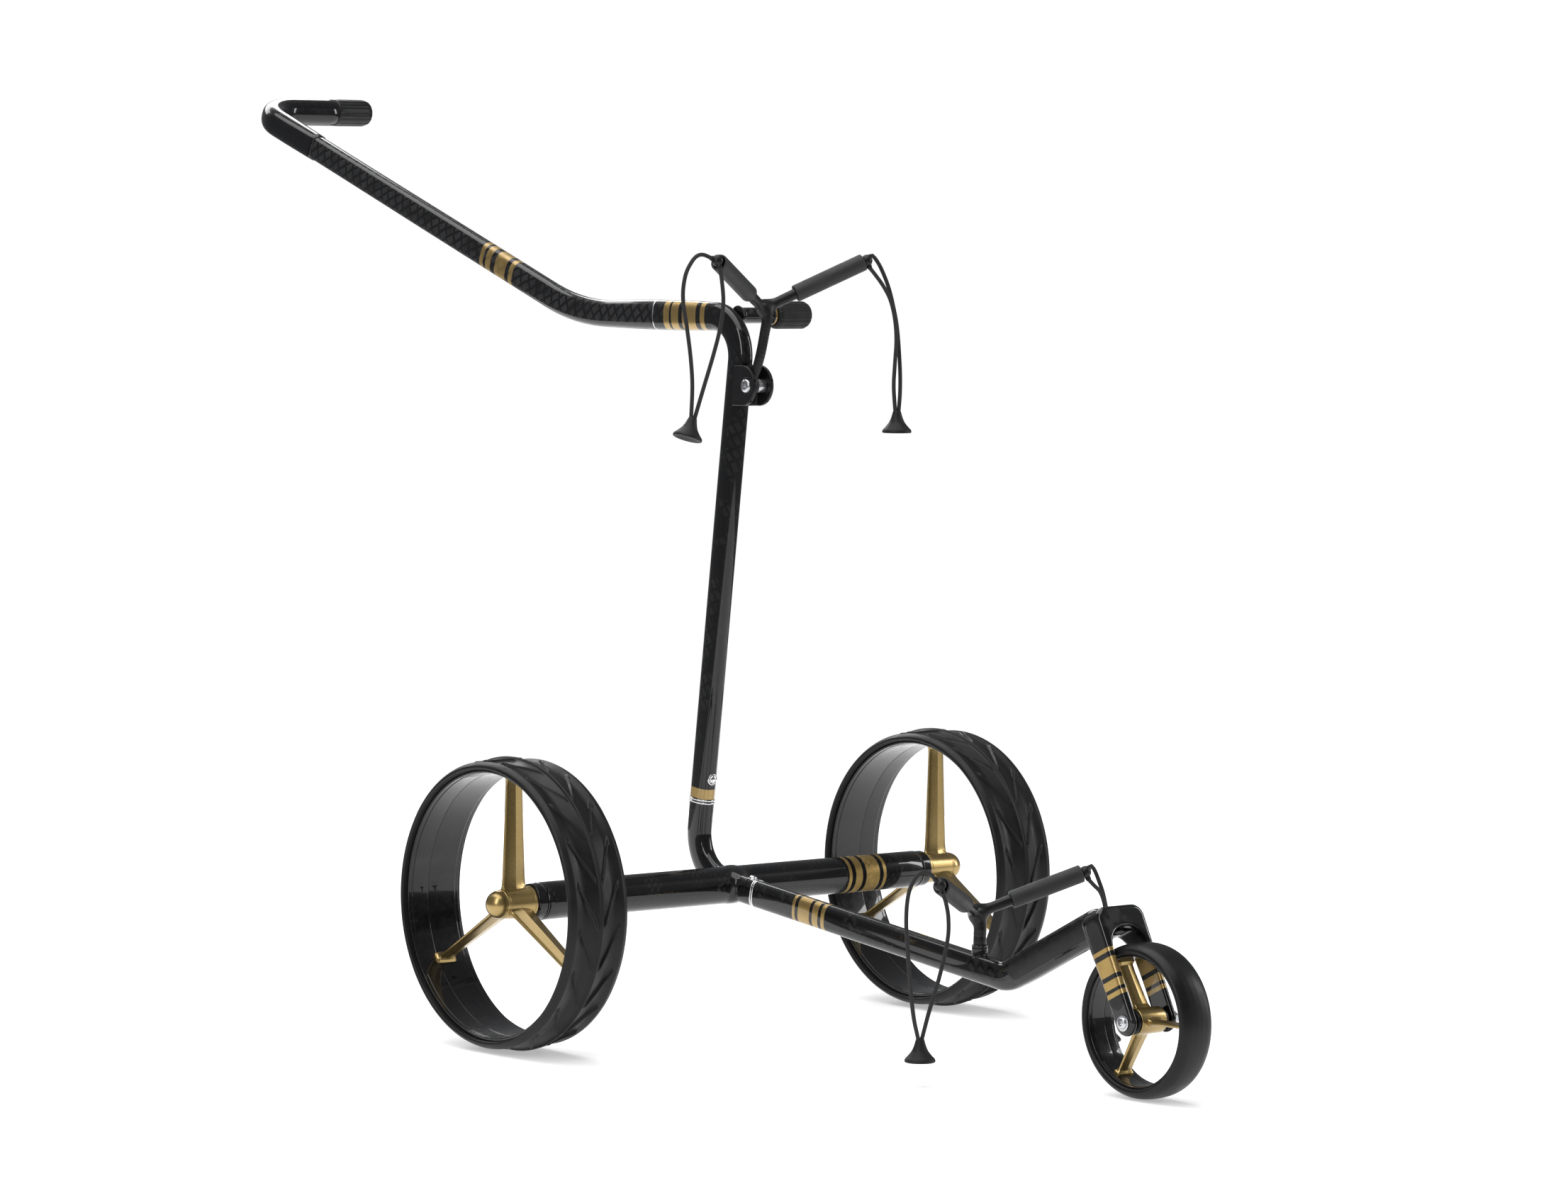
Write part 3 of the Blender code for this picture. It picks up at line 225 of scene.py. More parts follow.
# ---------------------------------------------------------------- materials
class Paint:
    """A Principled material with short calls for the nodes that drive it."""

    def __init__(self, name, colour, roughness, metallic=0.0, coat=0.0, coat_roughness=0.03, specular=0.5):
        self.material = bpy.data.materials.new(name)
        self.material.use_nodes = True
        self.tree = self.material.node_tree
        self.shader = self.tree.nodes["Principled BSDF"]
        self.set("Base Color", (*colour, 1.0))
        self.set("Roughness", roughness)
        self.set("Metallic", metallic)
        self.set("Coat Weight", coat)
        self.set("Coat Roughness", coat_roughness)
        self.set("Specular IOR Level", specular)
        self.material.diffuse_color = (*colour, 1.0)
        self.relief = None

    def set(self, socket, value):
        self.shader.inputs[socket].default_value = value

    def link(self, socket, source):
        self.tree.links.new(source, self.shader.inputs[socket])

    def node(self, kind, inputs=(), **settings):
        made = self.tree.nodes.new(kind)
        for key, value in settings.items():
            setattr(made, key, value)
        for socket, value in enumerate(inputs):
            self.feed(made.inputs[socket], value)
        return made

    def feed(self, socket, value):
        if isinstance(value, bpy.types.NodeSocket):
            self.tree.links.new(value, socket)
        elif value is not None:
            socket.default_value = value

    def place(self):
        return self.node("ShaderNodeTexCoord").outputs["Object"]

    def metres(self):
        """Metres round a piece and along it, as two sockets."""
        parts = self.node("ShaderNodeSeparateXYZ",
                          [self.node("ShaderNodeUVMap", uv_map="metres").outputs[0]])
        return parts.outputs[0], parts.outputs[1]

    def calc(self, operation, first, second=0.0, third=0.0):
        return self.node("ShaderNodeMath", [first, second, third], operation=operation).outputs[0]

    def times(self, first, second):
        return self.calc("MULTIPLY", first, second)

    def plus(self, first, second):
        return self.calc("ADD", first, second)

    def along(self, origin, direction):
        """Distance of a point from origin, along direction."""
        dot = self.node("ShaderNodeVectorMath", [self.place(), Vector(direction)], operation="DOT_PRODUCT")
        return self.calc("SUBTRACT", dot.outputs["Value"], float(np.dot(origin, direction)))

    def smoothly(self, value, low, high, start=0.0, stop=1.0):
        ramp = self.node("ShaderNodeMapRange", [value, low, high, start, stop],
                         interpolation_type="SMOOTHSTEP")
        return ramp.outputs[0]

    def noise(self, scale, detail=2.0, roughness=0.5, vector=None):
        made = self.node("ShaderNodeTexNoise")
        self.feed(made.inputs["Vector"], self.place() if vector is None else vector)
        for socket, value in (("Scale", scale), ("Detail", detail), ("Roughness", roughness)):
            made.inputs[socket].default_value = value
        return made.outputs["Fac"]

    def stretched(self, lengthwise, crosswise):
        """Object places with other scales along X than across it."""
        still = (0.0, 0.0, 0.0)
        scales = (lengthwise, crosswise, crosswise)
        return self.node("ShaderNodeMapping", [self.place(), still, still, scales]).outputs[0]

    def mix(self, share, first, second):
        made = self.node("ShaderNodeMix", data_type="RGBA")
        self.feed(made.inputs[0], share)
        for socket, value in ((6, first), (7, second)):
            self.feed(made.inputs[socket], (*value, 1.0) if isinstance(value, tuple) else value)
        return made.outputs[2]

    def bump(self, height, depth, strength=1.0):
        """Adds relief of that depth in metres."""
        made = self.node("ShaderNodeBump")
        made.inputs["Strength"].default_value = strength
        made.inputs["Distance"].default_value = depth
        self.feed(made.inputs["Height"], height)
        if self.relief is not None:
            self.feed(made.inputs["Normal"], self.relief)
        self.relief = made.outputs[0]
        self.link("Normal", self.relief)


def in_bands(paint, distance, bands):
    """1 where distance lies in one of the (start, stop) bands."""
    total = None
    for start, stop in bands:
        here = paint.calc("COMPARE", distance, (start + stop) / 2.0, abs(stop - start) / 2.0)
        total = here if total is None else paint.calc("MAXIMUM", total, here)
    return total


def band_masks(paint, bands):
    """Bands are (origin, direction, ranges), with (origin, direction) of planes that they stay beyond."""
    masks = None
    for origin, direction, ranges, *beyond in bands:
        mask = in_bands(paint, paint.along(origin, direction), ranges)
        for plane in beyond:
            mask = paint.times(mask, paint.calc("GREATER_THAN", paint.along(*plane)))
        masks = mask if masks is None else paint.calc("MAXIMUM", masks, mask)
    return masks


def gilded(paint, colour, masks):
    """Lays satin gold over a colour where masks is 1."""
    paint.link("Metallic", paint.times(masks, 0.85))
    fleck = paint.noise(2600.0)
    return paint.mix(masks, colour, paint.mix(fleck, (0.33, 0.22, 0.075), (0.48, 0.33, 0.12)))


def carbon(name, pitch, width, strength, bands=(), gaps=(0.44, 0.62)):
    """Gloss lacquered carbon with paler rhombic tows, and satin gold bands."""
    paint = Paint(name, (0.01, 0.01, 0.011), 0.3, coat=0.75, coat_roughness=0.035, specular=0.1)
    around, along = paint.metres()
    wander = paint.times(paint.noise(70.0), 0.5)
    climb = paint.plus(paint.times(along, 1.0 / pitch), wander)
    turn = paint.times(around, 1.0 / width)
    ridge = paint.calc("PINGPONG", paint.plus(climb, turn), 0.5)
    valley = paint.calc("PINGPONG", paint.calc("SUBTRACT", climb, paint.times(turn, 0.45)), 0.5)
    tow = paint.times(paint.smoothly(ridge, 0.14, 0.2), paint.smoothly(valley, 0.1, 0.16))
    fibre = paint.noise(1.0, 3.0, vector=paint.stretched(900.0, 60.0))
    cloud = paint.smoothly(paint.noise(45.0, 3.0), *gaps)
    share = paint.times(paint.times(tow, cloud), paint.smoothly(fibre, 0.2, 0.8, 0.55, 1.0))
    colour = paint.mix(share, (0.005, 0.005, 0.0055), (strength, strength, strength * 1.04))
    roughness = paint.smoothly(share, 0.0, 1.0, 0.24, 0.42)
    if bands:
        masks = band_masks(paint, bands)
        colour = gilded(paint, colour, masks)
        roughness = paint.plus(roughness, paint.times(masks, 0.12))
        paint.bump(masks, 0.00006)
    paint.link("Base Color", colour)
    paint.link("Roughness", roughness)
    paint.bump(paint.noise(60.0), 0.00004, 0.35)
    return paint.material


def finish(name, base, roughness, shades, drift, sheen, grain, bands=(), **shader):
    """A moulded or painted surface: two shades, uneven gloss and a fine relief.

    drift, sheen and grain each begin with the scale and detail of a noise. Without a drift the shades
    follow the other two; sheen goes on with the roughness limits, grain with depth and strength.
    """
    paint = Paint(name, base, roughness, **shader)
    uneven, relief = paint.noise(*sheen[0]), paint.noise(*grain[0])
    share = paint.noise(*drift) if drift else paint.times(paint.plus(relief, uneven), 0.5)
    colour = paint.mix(share, *shades)
    if bands:
        colour = gilded(paint, colour, band_masks(paint, bands))
    paint.link("Base Color", colour)
    paint.link("Roughness", paint.smoothly(uneven, 0.3, 0.7, *sheen[1:]))
    paint.bump(relief, *grain[1:])
    return paint.material


def gloss(name):
    dark = (0.004, 0.004, 0.0045)
    pale = tuple(channel * 1.9 for channel in dark)
    return finish(name, dark, 0.22, (dark, pale), (35.0, 3.0), ((140.0, 3.0), 0.16, 0.3),
                  ((240.0,), 0.00003, 0.4), coat=0.7, specular=0.1)


def rubber(name, dark, pale):
    return finish(name, dark, 0.58, (dark, pale), None, ((55.0, 3.0), 0.46, 0.62),
                  ((1700.0, 4.0, 0.65), 0.0001, 0.7), specular=0.26)


def tyre_rubber(name, low, high):
    """Black rubber with a fine moulded grain and uneven sheen."""
    return finish(name, (0.01, 0.01, 0.011), high, ((0.004, 0.004, 0.0045), (0.011, 0.011, 0.012)), None,
                  ((40.0, 4.0), low, high), ((1500.0, 4.0, 0.6), 0.00006, 0.5), specular=0.24)


def panel(name, roughness, bands=()):
    """The satin inlays of the beam and the fork."""
    return finish(name, (0.008, 0.008, 0.0085), roughness, ((0.005, 0.005, 0.0055), (0.011, 0.011, 0.0115)),
                  (90.0, 3.0), ((60.0,), 0.26, 0.36), ((2400.0,), 0.00003, 0.5), bands, specular=0.28)


def braid():
    """Crossed yarns of a braided elastic cord, with painted shade: darker in the gaps between the yarns and
    paler on their crowns, over a random fuzz.
    """
    yarns_round, yarn_rise = 16.0, 0.00085
    paint = Paint("braided_cord", (0.028, 0.026, 0.028), 0.78)
    around, along = paint.metres()
    turns = paint.times(around, yarns_round / (math.pi * CORD))
    rise = paint.times(along, 1.0 / yarn_rise)
    one, two = (paint.calc("PINGPONG", paint.calc(way, turns, rise), 1.0) for way in ("ADD", "SUBTRACT"))
    weave = paint.calc("MAXIMUM", paint.smoothly(one, 0.25, 0.95), paint.smoothly(two, 0.25, 0.95))
    fuzz = paint.noise(2500.0, 3.0)
    # painted shade: the colour darkens in the gaps between the yarns, where the relief is low, times a
    # random fuzz
    paint.link("Base Color", paint.mix(paint.times(weave, fuzz), (0.008, 0.0075, 0.008),
                                       (0.034, 0.031, 0.033)))
    paint.bump(weave, 0.00012, 0.8)
    paint.bump(fuzz, 0.00005, 0.5)
    return paint.material


def metal(name, colour, low, high):
    """Turned or plated metal with fine lines round the X axis."""
    paint = Paint(name, colour, low, metallic=1.0)
    lines = paint.noise(1.0, vector=paint.stretched(900.0, 30.0))
    paint.link("Roughness", paint.smoothly(lines, 0.3, 0.7, low, high))
    paint.link("Base Color", paint.mix(paint.noise(120.0), tuple(c * 0.9 for c in colour), colour))
    paint.bump(lines, 0.00002, 0.3)
    return paint.material


# ---------------------------------------------------------------- meshes
def skin(rows, ring=False, closed=True, ends=True):
    """Quads between rows of points, with metres round and along for each face corner."""
    rows = np.asarray(rows, float)
    count, width = rows.shape[:2]
    lines = count if ring else count - 1
    columns = width if closed else width - 1
    i, j = np.meshgrid(np.arange(lines), np.arange(columns), indexing="ij")
    k, l = (i + 1) % count, (j + 1) % width
    faces = np.stack((i * width + j, i * width + l, k * width + l, k * width + j),
                     -1).reshape(-1, 4).tolist()
    steps = np.linalg.norm(np.roll(rows, -1, axis=1) - rows, axis=2)
    around = np.concatenate((np.zeros((count, 1)), np.cumsum(steps, axis=1)), axis=1)
    climbs = np.linalg.norm(np.roll(rows, -1, axis=0) - rows, axis=2).mean(axis=1)
    along = np.concatenate(([0.0], np.cumsum(climbs)))
    corners = [(around[i, j], along[i]), (around[i, j + 1], along[i]), (around[k, j + 1], along[i + 1]),
               (around[k, j], along[i + 1])]
    metres = np.stack([np.stack(pair, -1) for pair in corners], 2).reshape(-1, 2)
    if closed and ends and not ring:
        faces.append(list(range(width))[::-1])
        faces.append([(count - 1) * width + step for step in range(width)])
        metres = np.concatenate((metres, np.zeros((2 * width, 2))))
    return rows.reshape(-1, 3), faces, metres


def joined(*shapes):
    """Several (points, faces, metres) shapes as one."""
    points, faces, metres, start = [], [], [], 0
    for shape in shapes:
        points.append(shape[0])
        faces += [[start + index for index in face] for face in shape[1]]
        metres.append(shape[2])
        start += len(shape[0])
    return np.concatenate(points), faces, np.concatenate(metres)


def add(name, shape, paint, body, sharp=42.0, slot=None):
    """Makes a piece that rides on its body, in place of the CAD node of its name where there is one."""
    points, faces, metres = shape
    mesh = bpy.data.meshes.new(name)
    mesh.from_pydata(points.tolist(), [], faces)
    layer = mesh.uv_layers.new(name="metres")
    layer.data.foreach_set("uv", np.asarray(metres, np.float32).ravel())
    mesh.materials.append(paint)
    mesh.shade_smooth()
    mesh.set_sharp_from_angle(angle=math.radians(sharp))
    made = bpy.data.objects.new("seen_" + name, mesh)
    bpy.context.scene.collection.objects.link(made)
    outward(mesh)
    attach(made, body)
    if name in frame["nodes"]:
        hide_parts(name)
    return made


def outward(mesh):
    """Flips the faces of a closed mesh whose volume comes out negative."""
    mesh.calc_loop_triangles()
    count = len(mesh.loop_triangles)
    corners = np.zeros(count * 3, np.int32)
    mesh.loop_triangles.foreach_get("vertices", corners)
    places = np.zeros(len(mesh.vertices) * 3)
    mesh.vertices.foreach_get("co", places)
    a, b, c = places.reshape(-1, 3)[corners.reshape(-1, 3)].transpose(1, 0, 2)
    if np.einsum("ij,ij->i", a - a[0], np.cross(b - a[0], c - a[0])).sum() < 0.0:
        mesh.flip_normals()


def oval(centre, across, up, size, power=OVAL):
    """A closed loop between an ellipse, power 2, and a rectangle."""
    angle = 2.0 * math.pi * (np.arange(OVAL_SIDES) + 0.5) / OVAL_SIDES
    c, s = np.cos(angle), np.sin(angle)
    a = np.sign(c) * np.abs(c) ** (2.0 / power) * size[0] / 2.0
    b = np.sign(s) * np.abs(s) ** (2.0 / power) * size[1] / 2.0
    return centre + a[:, None] * across + b[:, None] * up


def bent(corners, radii, step=0.006, turn_step=math.radians(2.5)):
    """Points and directions along straight runs joined by arcs."""
    corners = [np.asarray(corner, float) for corner in corners]
    points, directions = [corners[0]], [unit(corners[1] - corners[0])]
    for before, corner, after, radius in zip(corners, corners[1:], corners[2:], radii):
        arrive, leave = unit(corner - before), unit(after - corner)
        turn = math.acos(float(np.clip(arrive @ leave, -1.0, 1.0)))
        inward = unit(leave - arrive * (leave @ arrive))
        centre = corner - arrive * (radius * math.tan(turn / 2.0)) + inward * radius
        count = max(4, math.ceil(turn / turn_step))
        for k in range(count + 1):
            c, s = math.cos(turn * k / count), math.sin(turn * k / count)
            points.append(centre - inward * (radius * c) + arrive * (radius * s))
            directions.append(arrive * c + inward * s)
    points.append(corners[-1])
    directions.append(unit(corners[-1] - corners[-2]))
    full_points, full_directions = [points[0]], [directions[0]]
    for p, q, d, e in zip(points, points[1:], directions, directions[1:]):
        count = max(1, round(np.linalg.norm(q - p) / step))
        for k in range(1, count + 1):
            full_points.append(p + (q - p) * k / count)
            full_directions.append(unit(d + (e - d) * k / count))
    return np.array(full_points), np.array(full_directions)


def loops_along(points, directions, sizes):
    """Oval loops across a line that stays in the plane of symmetry."""
    sizes = np.broadcast_to(np.asarray(sizes, float), (len(points), 2))
    return [oval(point, X, -np.cross(X, direction), size) for point, direction,
            size in zip(points, directions, sizes)]


def distances(points):
    """How far each point is along the line, from its first one."""
    return np.concatenate(([0.0], np.cumsum(np.linalg.norm(np.diff(points, axis=0), axis=1))))


def eased(value, low, high):
    """0 below low, 1 above high, and a smooth step between."""
    share = np.clip((np.asarray(value, float) - low) / (high - low), 0.0, 1.0)
    return share * share * (3.0 - 2.0 * share)


def rounded(outline, radius, steps=5, closed=False):
    """Rounds the corners of an outline of flat points."""
    outline = [np.asarray(point, float) for point in outline]
    count = len(outline)
    result = []
    for k, corner in enumerate(outline):
        if not closed and k in (0, count - 1):
            result.append(corner)
            continue
        before, after = outline[k - 1], outline[(k + 1) % count]
        first = corner + unit(before - corner) * min(radius, 0.48 * np.linalg.norm(before - corner))
        last = corner + unit(after - corner) * min(radius, 0.48 * np.linalg.norm(after - corner))
        for t in np.linspace(0.0, 1.0, steps):
            result.append((1 - t) ** 2 * first + 2 * t * (1 - t) * corner + t * t * last)
    return np.array(result)


def through(points, spacing):
    """Evenly spaced points on a Catmull-Rom curve through the given ones."""
    points = [np.asarray(point, float) for point in points]
    ends = [points[0] * 2.0 - points[1]] + points + [points[-1] * 2.0 - points[-2]]
    fine = []
    for a, b, c, d in zip(ends, ends[1:], ends[2:], ends[3:]):
        for t in np.arange(12) / 12.0:
            fine.append(0.5 * (2.0 * b + (c - a) * t + (2.0 * a - 5.0 * b + 4.0 * c - d) * t ** 2
                               + (3.0 * b - a - 3.0 * c + d) * t ** 3))
    fine = np.array(fine + [points[-1]])
    lengths = distances(fine)
    count = max(2, round(lengths[-1] / spacing))
    wanted = np.linspace(0.0, lengths[-1], count + 1)
    return np.stack([np.interp(wanted, lengths, fine[:, axis]) for axis in range(fine.shape[1])], 1)


def turned(profile, centre, axis, sides=72, ring=False, radius_at=None):
    """Turns (distance along the axis, radius) points about the axis."""
    axis = unit(axis)
    side = Y if abs(axis[0]) > 0.99 else unit(np.cross(axis, X))
    other = np.cross(axis, side)
    angle = 2.0 * math.pi * np.arange(sides) / sides
    spin = np.cos(angle)[:, None] * side + np.sin(angle)[:, None] * other
    rows = []
    for along, radius in profile:
        reach = np.full(sides, radius) if radius_at is None else radius_at(angle, along, radius)
        rows.append(centre + axis * along + spin * reach[:, None])
    return skin(rows, ring)


def dome(along, rise, radius, reach, first, last, count=9):
    """Profile points of a quarter oval: along the axis by rise, and in by reach down to radius."""
    return [(along + rise * math.sin(a), radius + reach * math.cos(a))
            for a in np.linspace(first, last, count)]


def lathe(name, profile, corner, centre, axis, paint, body, steps=5, sides=64, closed=True, **rest):
    """A piece turned from a profile with rounded corners: a ring, or solid when not closed."""
    outline = rounded(profile, corner, steps, closed)
    return add(name, turned(outline, centre, axis, sides, closed), paint, body, **rest)


def frames(points):
    """Sideways and upward directions along a line, without twist."""
    tangents = np.gradient(points, axis=0)
    tangents /= np.linalg.norm(tangents, axis=1)[:, None]
    side = unit(np.cross(tangents[0], Y))
    sides = []
    for tangent in tangents:
        side = unit(side - tangent * (side @ tangent))
        sides.append(side)
    sides = np.array(sides)
    return sides, np.cross(tangents, sides)


def round_tube(points, radii, count=16, ring=False):
    sides, ups = frames(points)
    radii = np.broadcast_to(radii, len(points))
    angle = 2.0 * math.pi * np.arange(count) / count
    rows = [point + radius * (np.cos(angle)[:, None] * side + np.sin(angle)[:, None] * up) for point,
            radius, side, up in zip(points, radii, sides, ups)]
    return skin(rows, ring)


# ---------------------------------------------------------------- blended solids
def smooth_min(a, b, reach):
    """The lower of two distances, with a fillet that reaches that far."""
    share = np.clip(0.5 + 0.5 * (b - a) / reach, 0.0, 1.0)
    return b + (a - b) * share - reach * share * (1.0 - share)


def smooth_max(a, b, reach):
    return -smooth_min(-a, -b, reach)


def cone(p, start, stop, first, last):
    """Distance to a round-ended cone."""
    run = stop - start
    share = np.clip(((p - start) @ run) / (run @ run), 0.0, 1.0)
    return np.linalg.norm(p - start - share[:, None] * run, axis=1) - (first + (last - first) * share)


def oval_tube(p, start, stop, size, last_size=None):
    """Near distance to a straight frame tube with flat ends."""
    run = stop - start
    length = np.linalg.norm(run)
    ahead = run / length
    up = -np.cross(X, ahead)
    reach = (p - start) @ ahead
    share = np.clip(reach / length, 0.0, 1.0)[:, None]
    half = (np.asarray(size) + (np.asarray(size if last_size is None else last_size) - size) * share) / 2.0
    a = np.abs((p - start) @ X) / half[:, 0]
    b = np.abs((p - start) @ up) / half[:, 1]
    bulk = (a ** OVAL + b ** OVAL + 1e-12) ** (1.0 / OVAL)
    side = (bulk - 1.0) * half.min(axis=1)
    return np.maximum(side, np.maximum(-reach, reach - length))


def rod(p, centre, axis, radius):
    """Distance to an endless cylinder."""
    away = p - centre
    away = away - np.outer(away @ axis, axis)
    return np.linalg.norm(away, axis=1) - radius


def surface(field, low, high, cell):
    """Meshes where a field is zero, by surface nets, and settles the points on it."""
    low, high = np.asarray(low, float), np.asarray(high, float)
    counts = np.ceil((high - low) / cell).astype(int) + 1
    axes = [low[i] + cell * np.arange(counts[i]) for i in range(3)]
    grid = np.stack(np.meshgrid(*axes, indexing="ij"), -1)
    values = field(grid.reshape(-1, 3)).reshape(counts)
    inside = values < 0.0
    cells = counts - 1
    offsets = [np.array((a, b, c)) for a in (0, 1) for b in (0, 1) for c in (0, 1)]

    def corner(array, offset):
        return array[tuple(slice(o, o + n) for o, n in zip(offset, cells))]

    held = sum(corner(inside, offset).astype(int) for offset in offsets)
    mixed = (held > 0) & (held < 8)
    index = np.full(cells, -1)
    index[mixed] = np.arange(mixed.sum())
    total, crossings = np.zeros((mixed.sum(), 3)), np.zeros(mixed.sum())
    for first in offsets:
        for axis in range(3):
            if first[axis]:
                continue
            other = first.copy()
            other[axis] = 1
            a, b = corner(values, first)[mixed], corner(values, other)[mixed]
            cross = (a < 0.0) != (b < 0.0)
            share = np.where(cross, a / np.where(cross, a - b, 1.0), 0.0)
            place = np.tile(first.astype(float), (len(a), 1))
            place[:, axis] = share
            total += place * cross[:, None]
            crossings += cross
    points = low + cell * (np.argwhere(mixed) + total / crossings[:, None])
    quads = []
    for axis in range(3):
        u, v = (axis + 1) % 3, (axis + 2) % 3
        near = [slice(1, n) for n in cells]
        near[axis] = slice(0, cells[axis])
        far = list(near)
        far[axis] = slice(1, cells[axis] + 1)
        a, b = inside[tuple(near)], inside[tuple(far)]
        spots = np.argwhere(a != b)
        spots[:, u] += 1
        spots[:, v] += 1
        rising = a[a != b]
        ring = []
        for du, dv in ((-1, -1), (0, -1), (0, 0), (-1, 0)):
            spot = spots.copy()
            spot[:, u] += du
            spot[:, v] += dv
            ring.append(index[tuple(spot.T)])
        ring = np.stack(ring, 1)
        ring[~rising] = ring[~rising][:, ::-1]
        quads.append(ring)
    quads = np.concatenate(quads)
    return settled(points, quads, field, cell)


def settled(points, quads, field, cell):
    """Evens the points out over the surface and puts them back on it."""
    edges = np.concatenate([quads[:, [0, 1]], quads[:, [1, 2]], quads[:, [2, 3]], quads[:, [3, 0]]])
    for _ in range(2):
        total, count = np.zeros_like(points), np.zeros(len(points))
        for a, b in (edges.T, edges.T[::-1]):
            np.add.at(total, a, points[b])
            np.add.at(count, a, 1)
        points = points * 0.5 + 0.5 * total / count[:, None]
        for _ in range(2):
            step = cell * 0.05
            here = field(points)
            slope = np.stack([field(points + step * axis) - here for axis in np.eye(3)], 1) / step
            size = np.maximum((slope ** 2).sum(axis=1), 0.05)
            move = -here[:, None] * slope / size[:, None]
            points = points + np.clip(move, -cell, cell)
    return points, quads.tolist(), np.zeros((quads.size, 2))


# ---------------------------------------------------------------- cords and their pulls
UPPER_LEFT = {"outer": ((-0.1025, -0.089, 0.7795), (-0.11, -0.0875, 0.7825), (-0.118, -0.088, 0.782),
                        (-0.1265, -0.089, 0.776), (-0.1355, -0.09, 0.762), (-0.1395, -0.0915, 0.74),
                        (-0.1345, -0.092, 0.71), (-0.13, -0.092, 0.683), (-0.1275, -0.092, 0.655),
                        (-0.1287, -0.092, 0.6235)),
              "inner": ((-0.0974, -0.0965, 0.7699), (-0.0955, -0.0975, 0.758), (-0.0925, -0.0965, 0.735),
                        (-0.095, -0.0945, 0.71), (-0.102, -0.093, 0.684), (-0.114, -0.092, 0.65),
                        (-0.1244, -0.092, 0.622))}
UPPER_RIGHT = {"outer": ((0.1033, -0.0894, 0.7812), (0.107, -0.0886, 0.782), (0.1127, -0.0887, 0.777),
                         (0.119, -0.0895, 0.7675), (0.1275, -0.09, 0.7505), (0.1335, -0.0905, 0.732),
                         (0.1385, -0.0915, 0.708), (0.142, -0.092, 0.67), (0.1425, -0.092, 0.645),
                         (0.1408, -0.092, 0.6248)),
               "inner": ((0.0991, -0.0944, 0.7693), (0.1045, -0.096, 0.763), (0.115, -0.097, 0.751),
                         (0.124, -0.0975, 0.737), (0.13, -0.0975, 0.718), (0.133, -0.0965, 0.697),
                         (0.1335, -0.094, 0.672), (0.1335, -0.0925, 0.65), (0.1362, -0.092, 0.6248))}
LOWER_LEFT = {"outer": ((-0.0987, -0.4258, 0.1961), (-0.106, -0.4255, 0.202), (-0.115, -0.426, 0.2035),
                        (-0.125, -0.4265, 0.197), (-0.133, -0.427, 0.182), (-0.1355, -0.4275, 0.155),
                        (-0.1315, -0.4275, 0.113), (-0.126, -0.4275, 0.07), (-0.1193, -0.4275, 0.0448)),
              "inner": ((-0.094, -0.4317, 0.1828), (-0.0905, -0.4325, 0.174), (-0.0865, -0.432, 0.158),
                        (-0.0865, -0.431, 0.137), (-0.0945, -0.429, 0.103), (-0.1065, -0.428, 0.07),
                        (-0.1147, -0.4275, 0.0448))}
LOWER_RIGHT = {"outer": ((0.1002, -0.4258, 0.194), (0.1036, -0.425, 0.1952), (0.1085, -0.4247, 0.1903),
                         (0.1135, -0.4248, 0.181), (0.12, -0.4255, 0.165), (0.125, -0.4265, 0.14),
                         (0.1265, -0.4275, 0.105), (0.1262, -0.4275, 0.07), (0.1253, -0.4275, 0.0448)),
               "inner": ((0.0957, -0.4304, 0.1825), (0.101, -0.432, 0.177), (0.11, -0.4325, 0.1685),
                         (0.1165, -0.4325, 0.15), (0.119, -0.4315, 0.12), (0.1195, -0.43, 0.09),
                         (0.1195, -0.4285, 0.065), (0.1207, -0.4275, 0.0448))}
PULL_FLARE = ((-0.0012, 0.002), (-0.0012, 0.004), (0.001, 0.0045), (0.006, 0.006), (0.0105, 0.008),
              (0.015, 0.0116), (0.018, 0.0146), (0.0205, 0.015), (0.0212, 0.0136), (0.0206, 0.012),
              (0.019, 0.006), (0.0187, 0.0004))


def make_cord_pair(prefix, side, routes, top, axis, body):
    """Two strands that leave a ball and end together in a flared rubber pull."""
    pull = lathe(f"{prefix}_{side}_cord_pull", PULL_FLARE, 0.0012, cart(*top), axis, RUBBER, body,
                 closed=False)
    for label, route in routes.items():
        name = f"{prefix}_{side}_cord_{label}"
        path = through([cart(*point) for point in route], CORD)
        strand = add(name, round_tube(path, CORD / 2.0, 18), BRAID, body)


def make_cords():
    down = (0.0, 0.0, -1.0)
    make_cord_pair("upper", "left", UPPER_LEFT, (-0.1268, -0.092, 0.622), (-0.33, 0.0, -0.944),
                   "upper_bracket")
    make_cord_pair("upper", "right", UPPER_RIGHT, (0.1385, -0.092, 0.624), down, "upper_bracket")
    make_cord_pair("lower", "left", LOWER_LEFT, (-0.117, -0.4275, 0.044), down, "front_frame")
    make_cord_pair("lower", "right", LOWER_RIGHT, (0.123, -0.4275, 0.044), down, "front_frame")


# ---------------------------------------------------------------- rear wheels
RIB_PITCH = math.radians(18.0)
RIB_INNER = 0.0028
RIB_OUTER = 0.025
RIB_START = math.radians(49.5 - 18.0)
RIB_HEIGHT = 0.0026
RIB_HALF_WIDTH = 0.0013
RIB_FOOT = 0.1385
TREAD_RADIUS = 0.141
RIB_COLUMNS = (-0.078, -0.06, -0.044, -0.028, -0.01, 0.01, 0.028, 0.044, 0.06, 0.078, 0.16, 0.26, 0.37, 0.5,
               0.63, 0.74, 0.84)
TREAD = ((0.0, 0.145), (0.0007, 0.1449), (0.0014, 0.1441), (0.0023, 0.1428), (0.0044, 0.142),
         (0.012, 0.1402), (0.0165, 0.1393), (0.021, 0.1394), (0.0255, 0.1404), (0.0288, 0.1411),
         (0.0312, 0.1405), (0.0338, 0.1392), (0.0355, 0.1374), (0.036, 0.1358), (0.0356, 0.1345),
         (0.0346, 0.1338), (0.033, 0.1336), (0.0318, 0.1333))


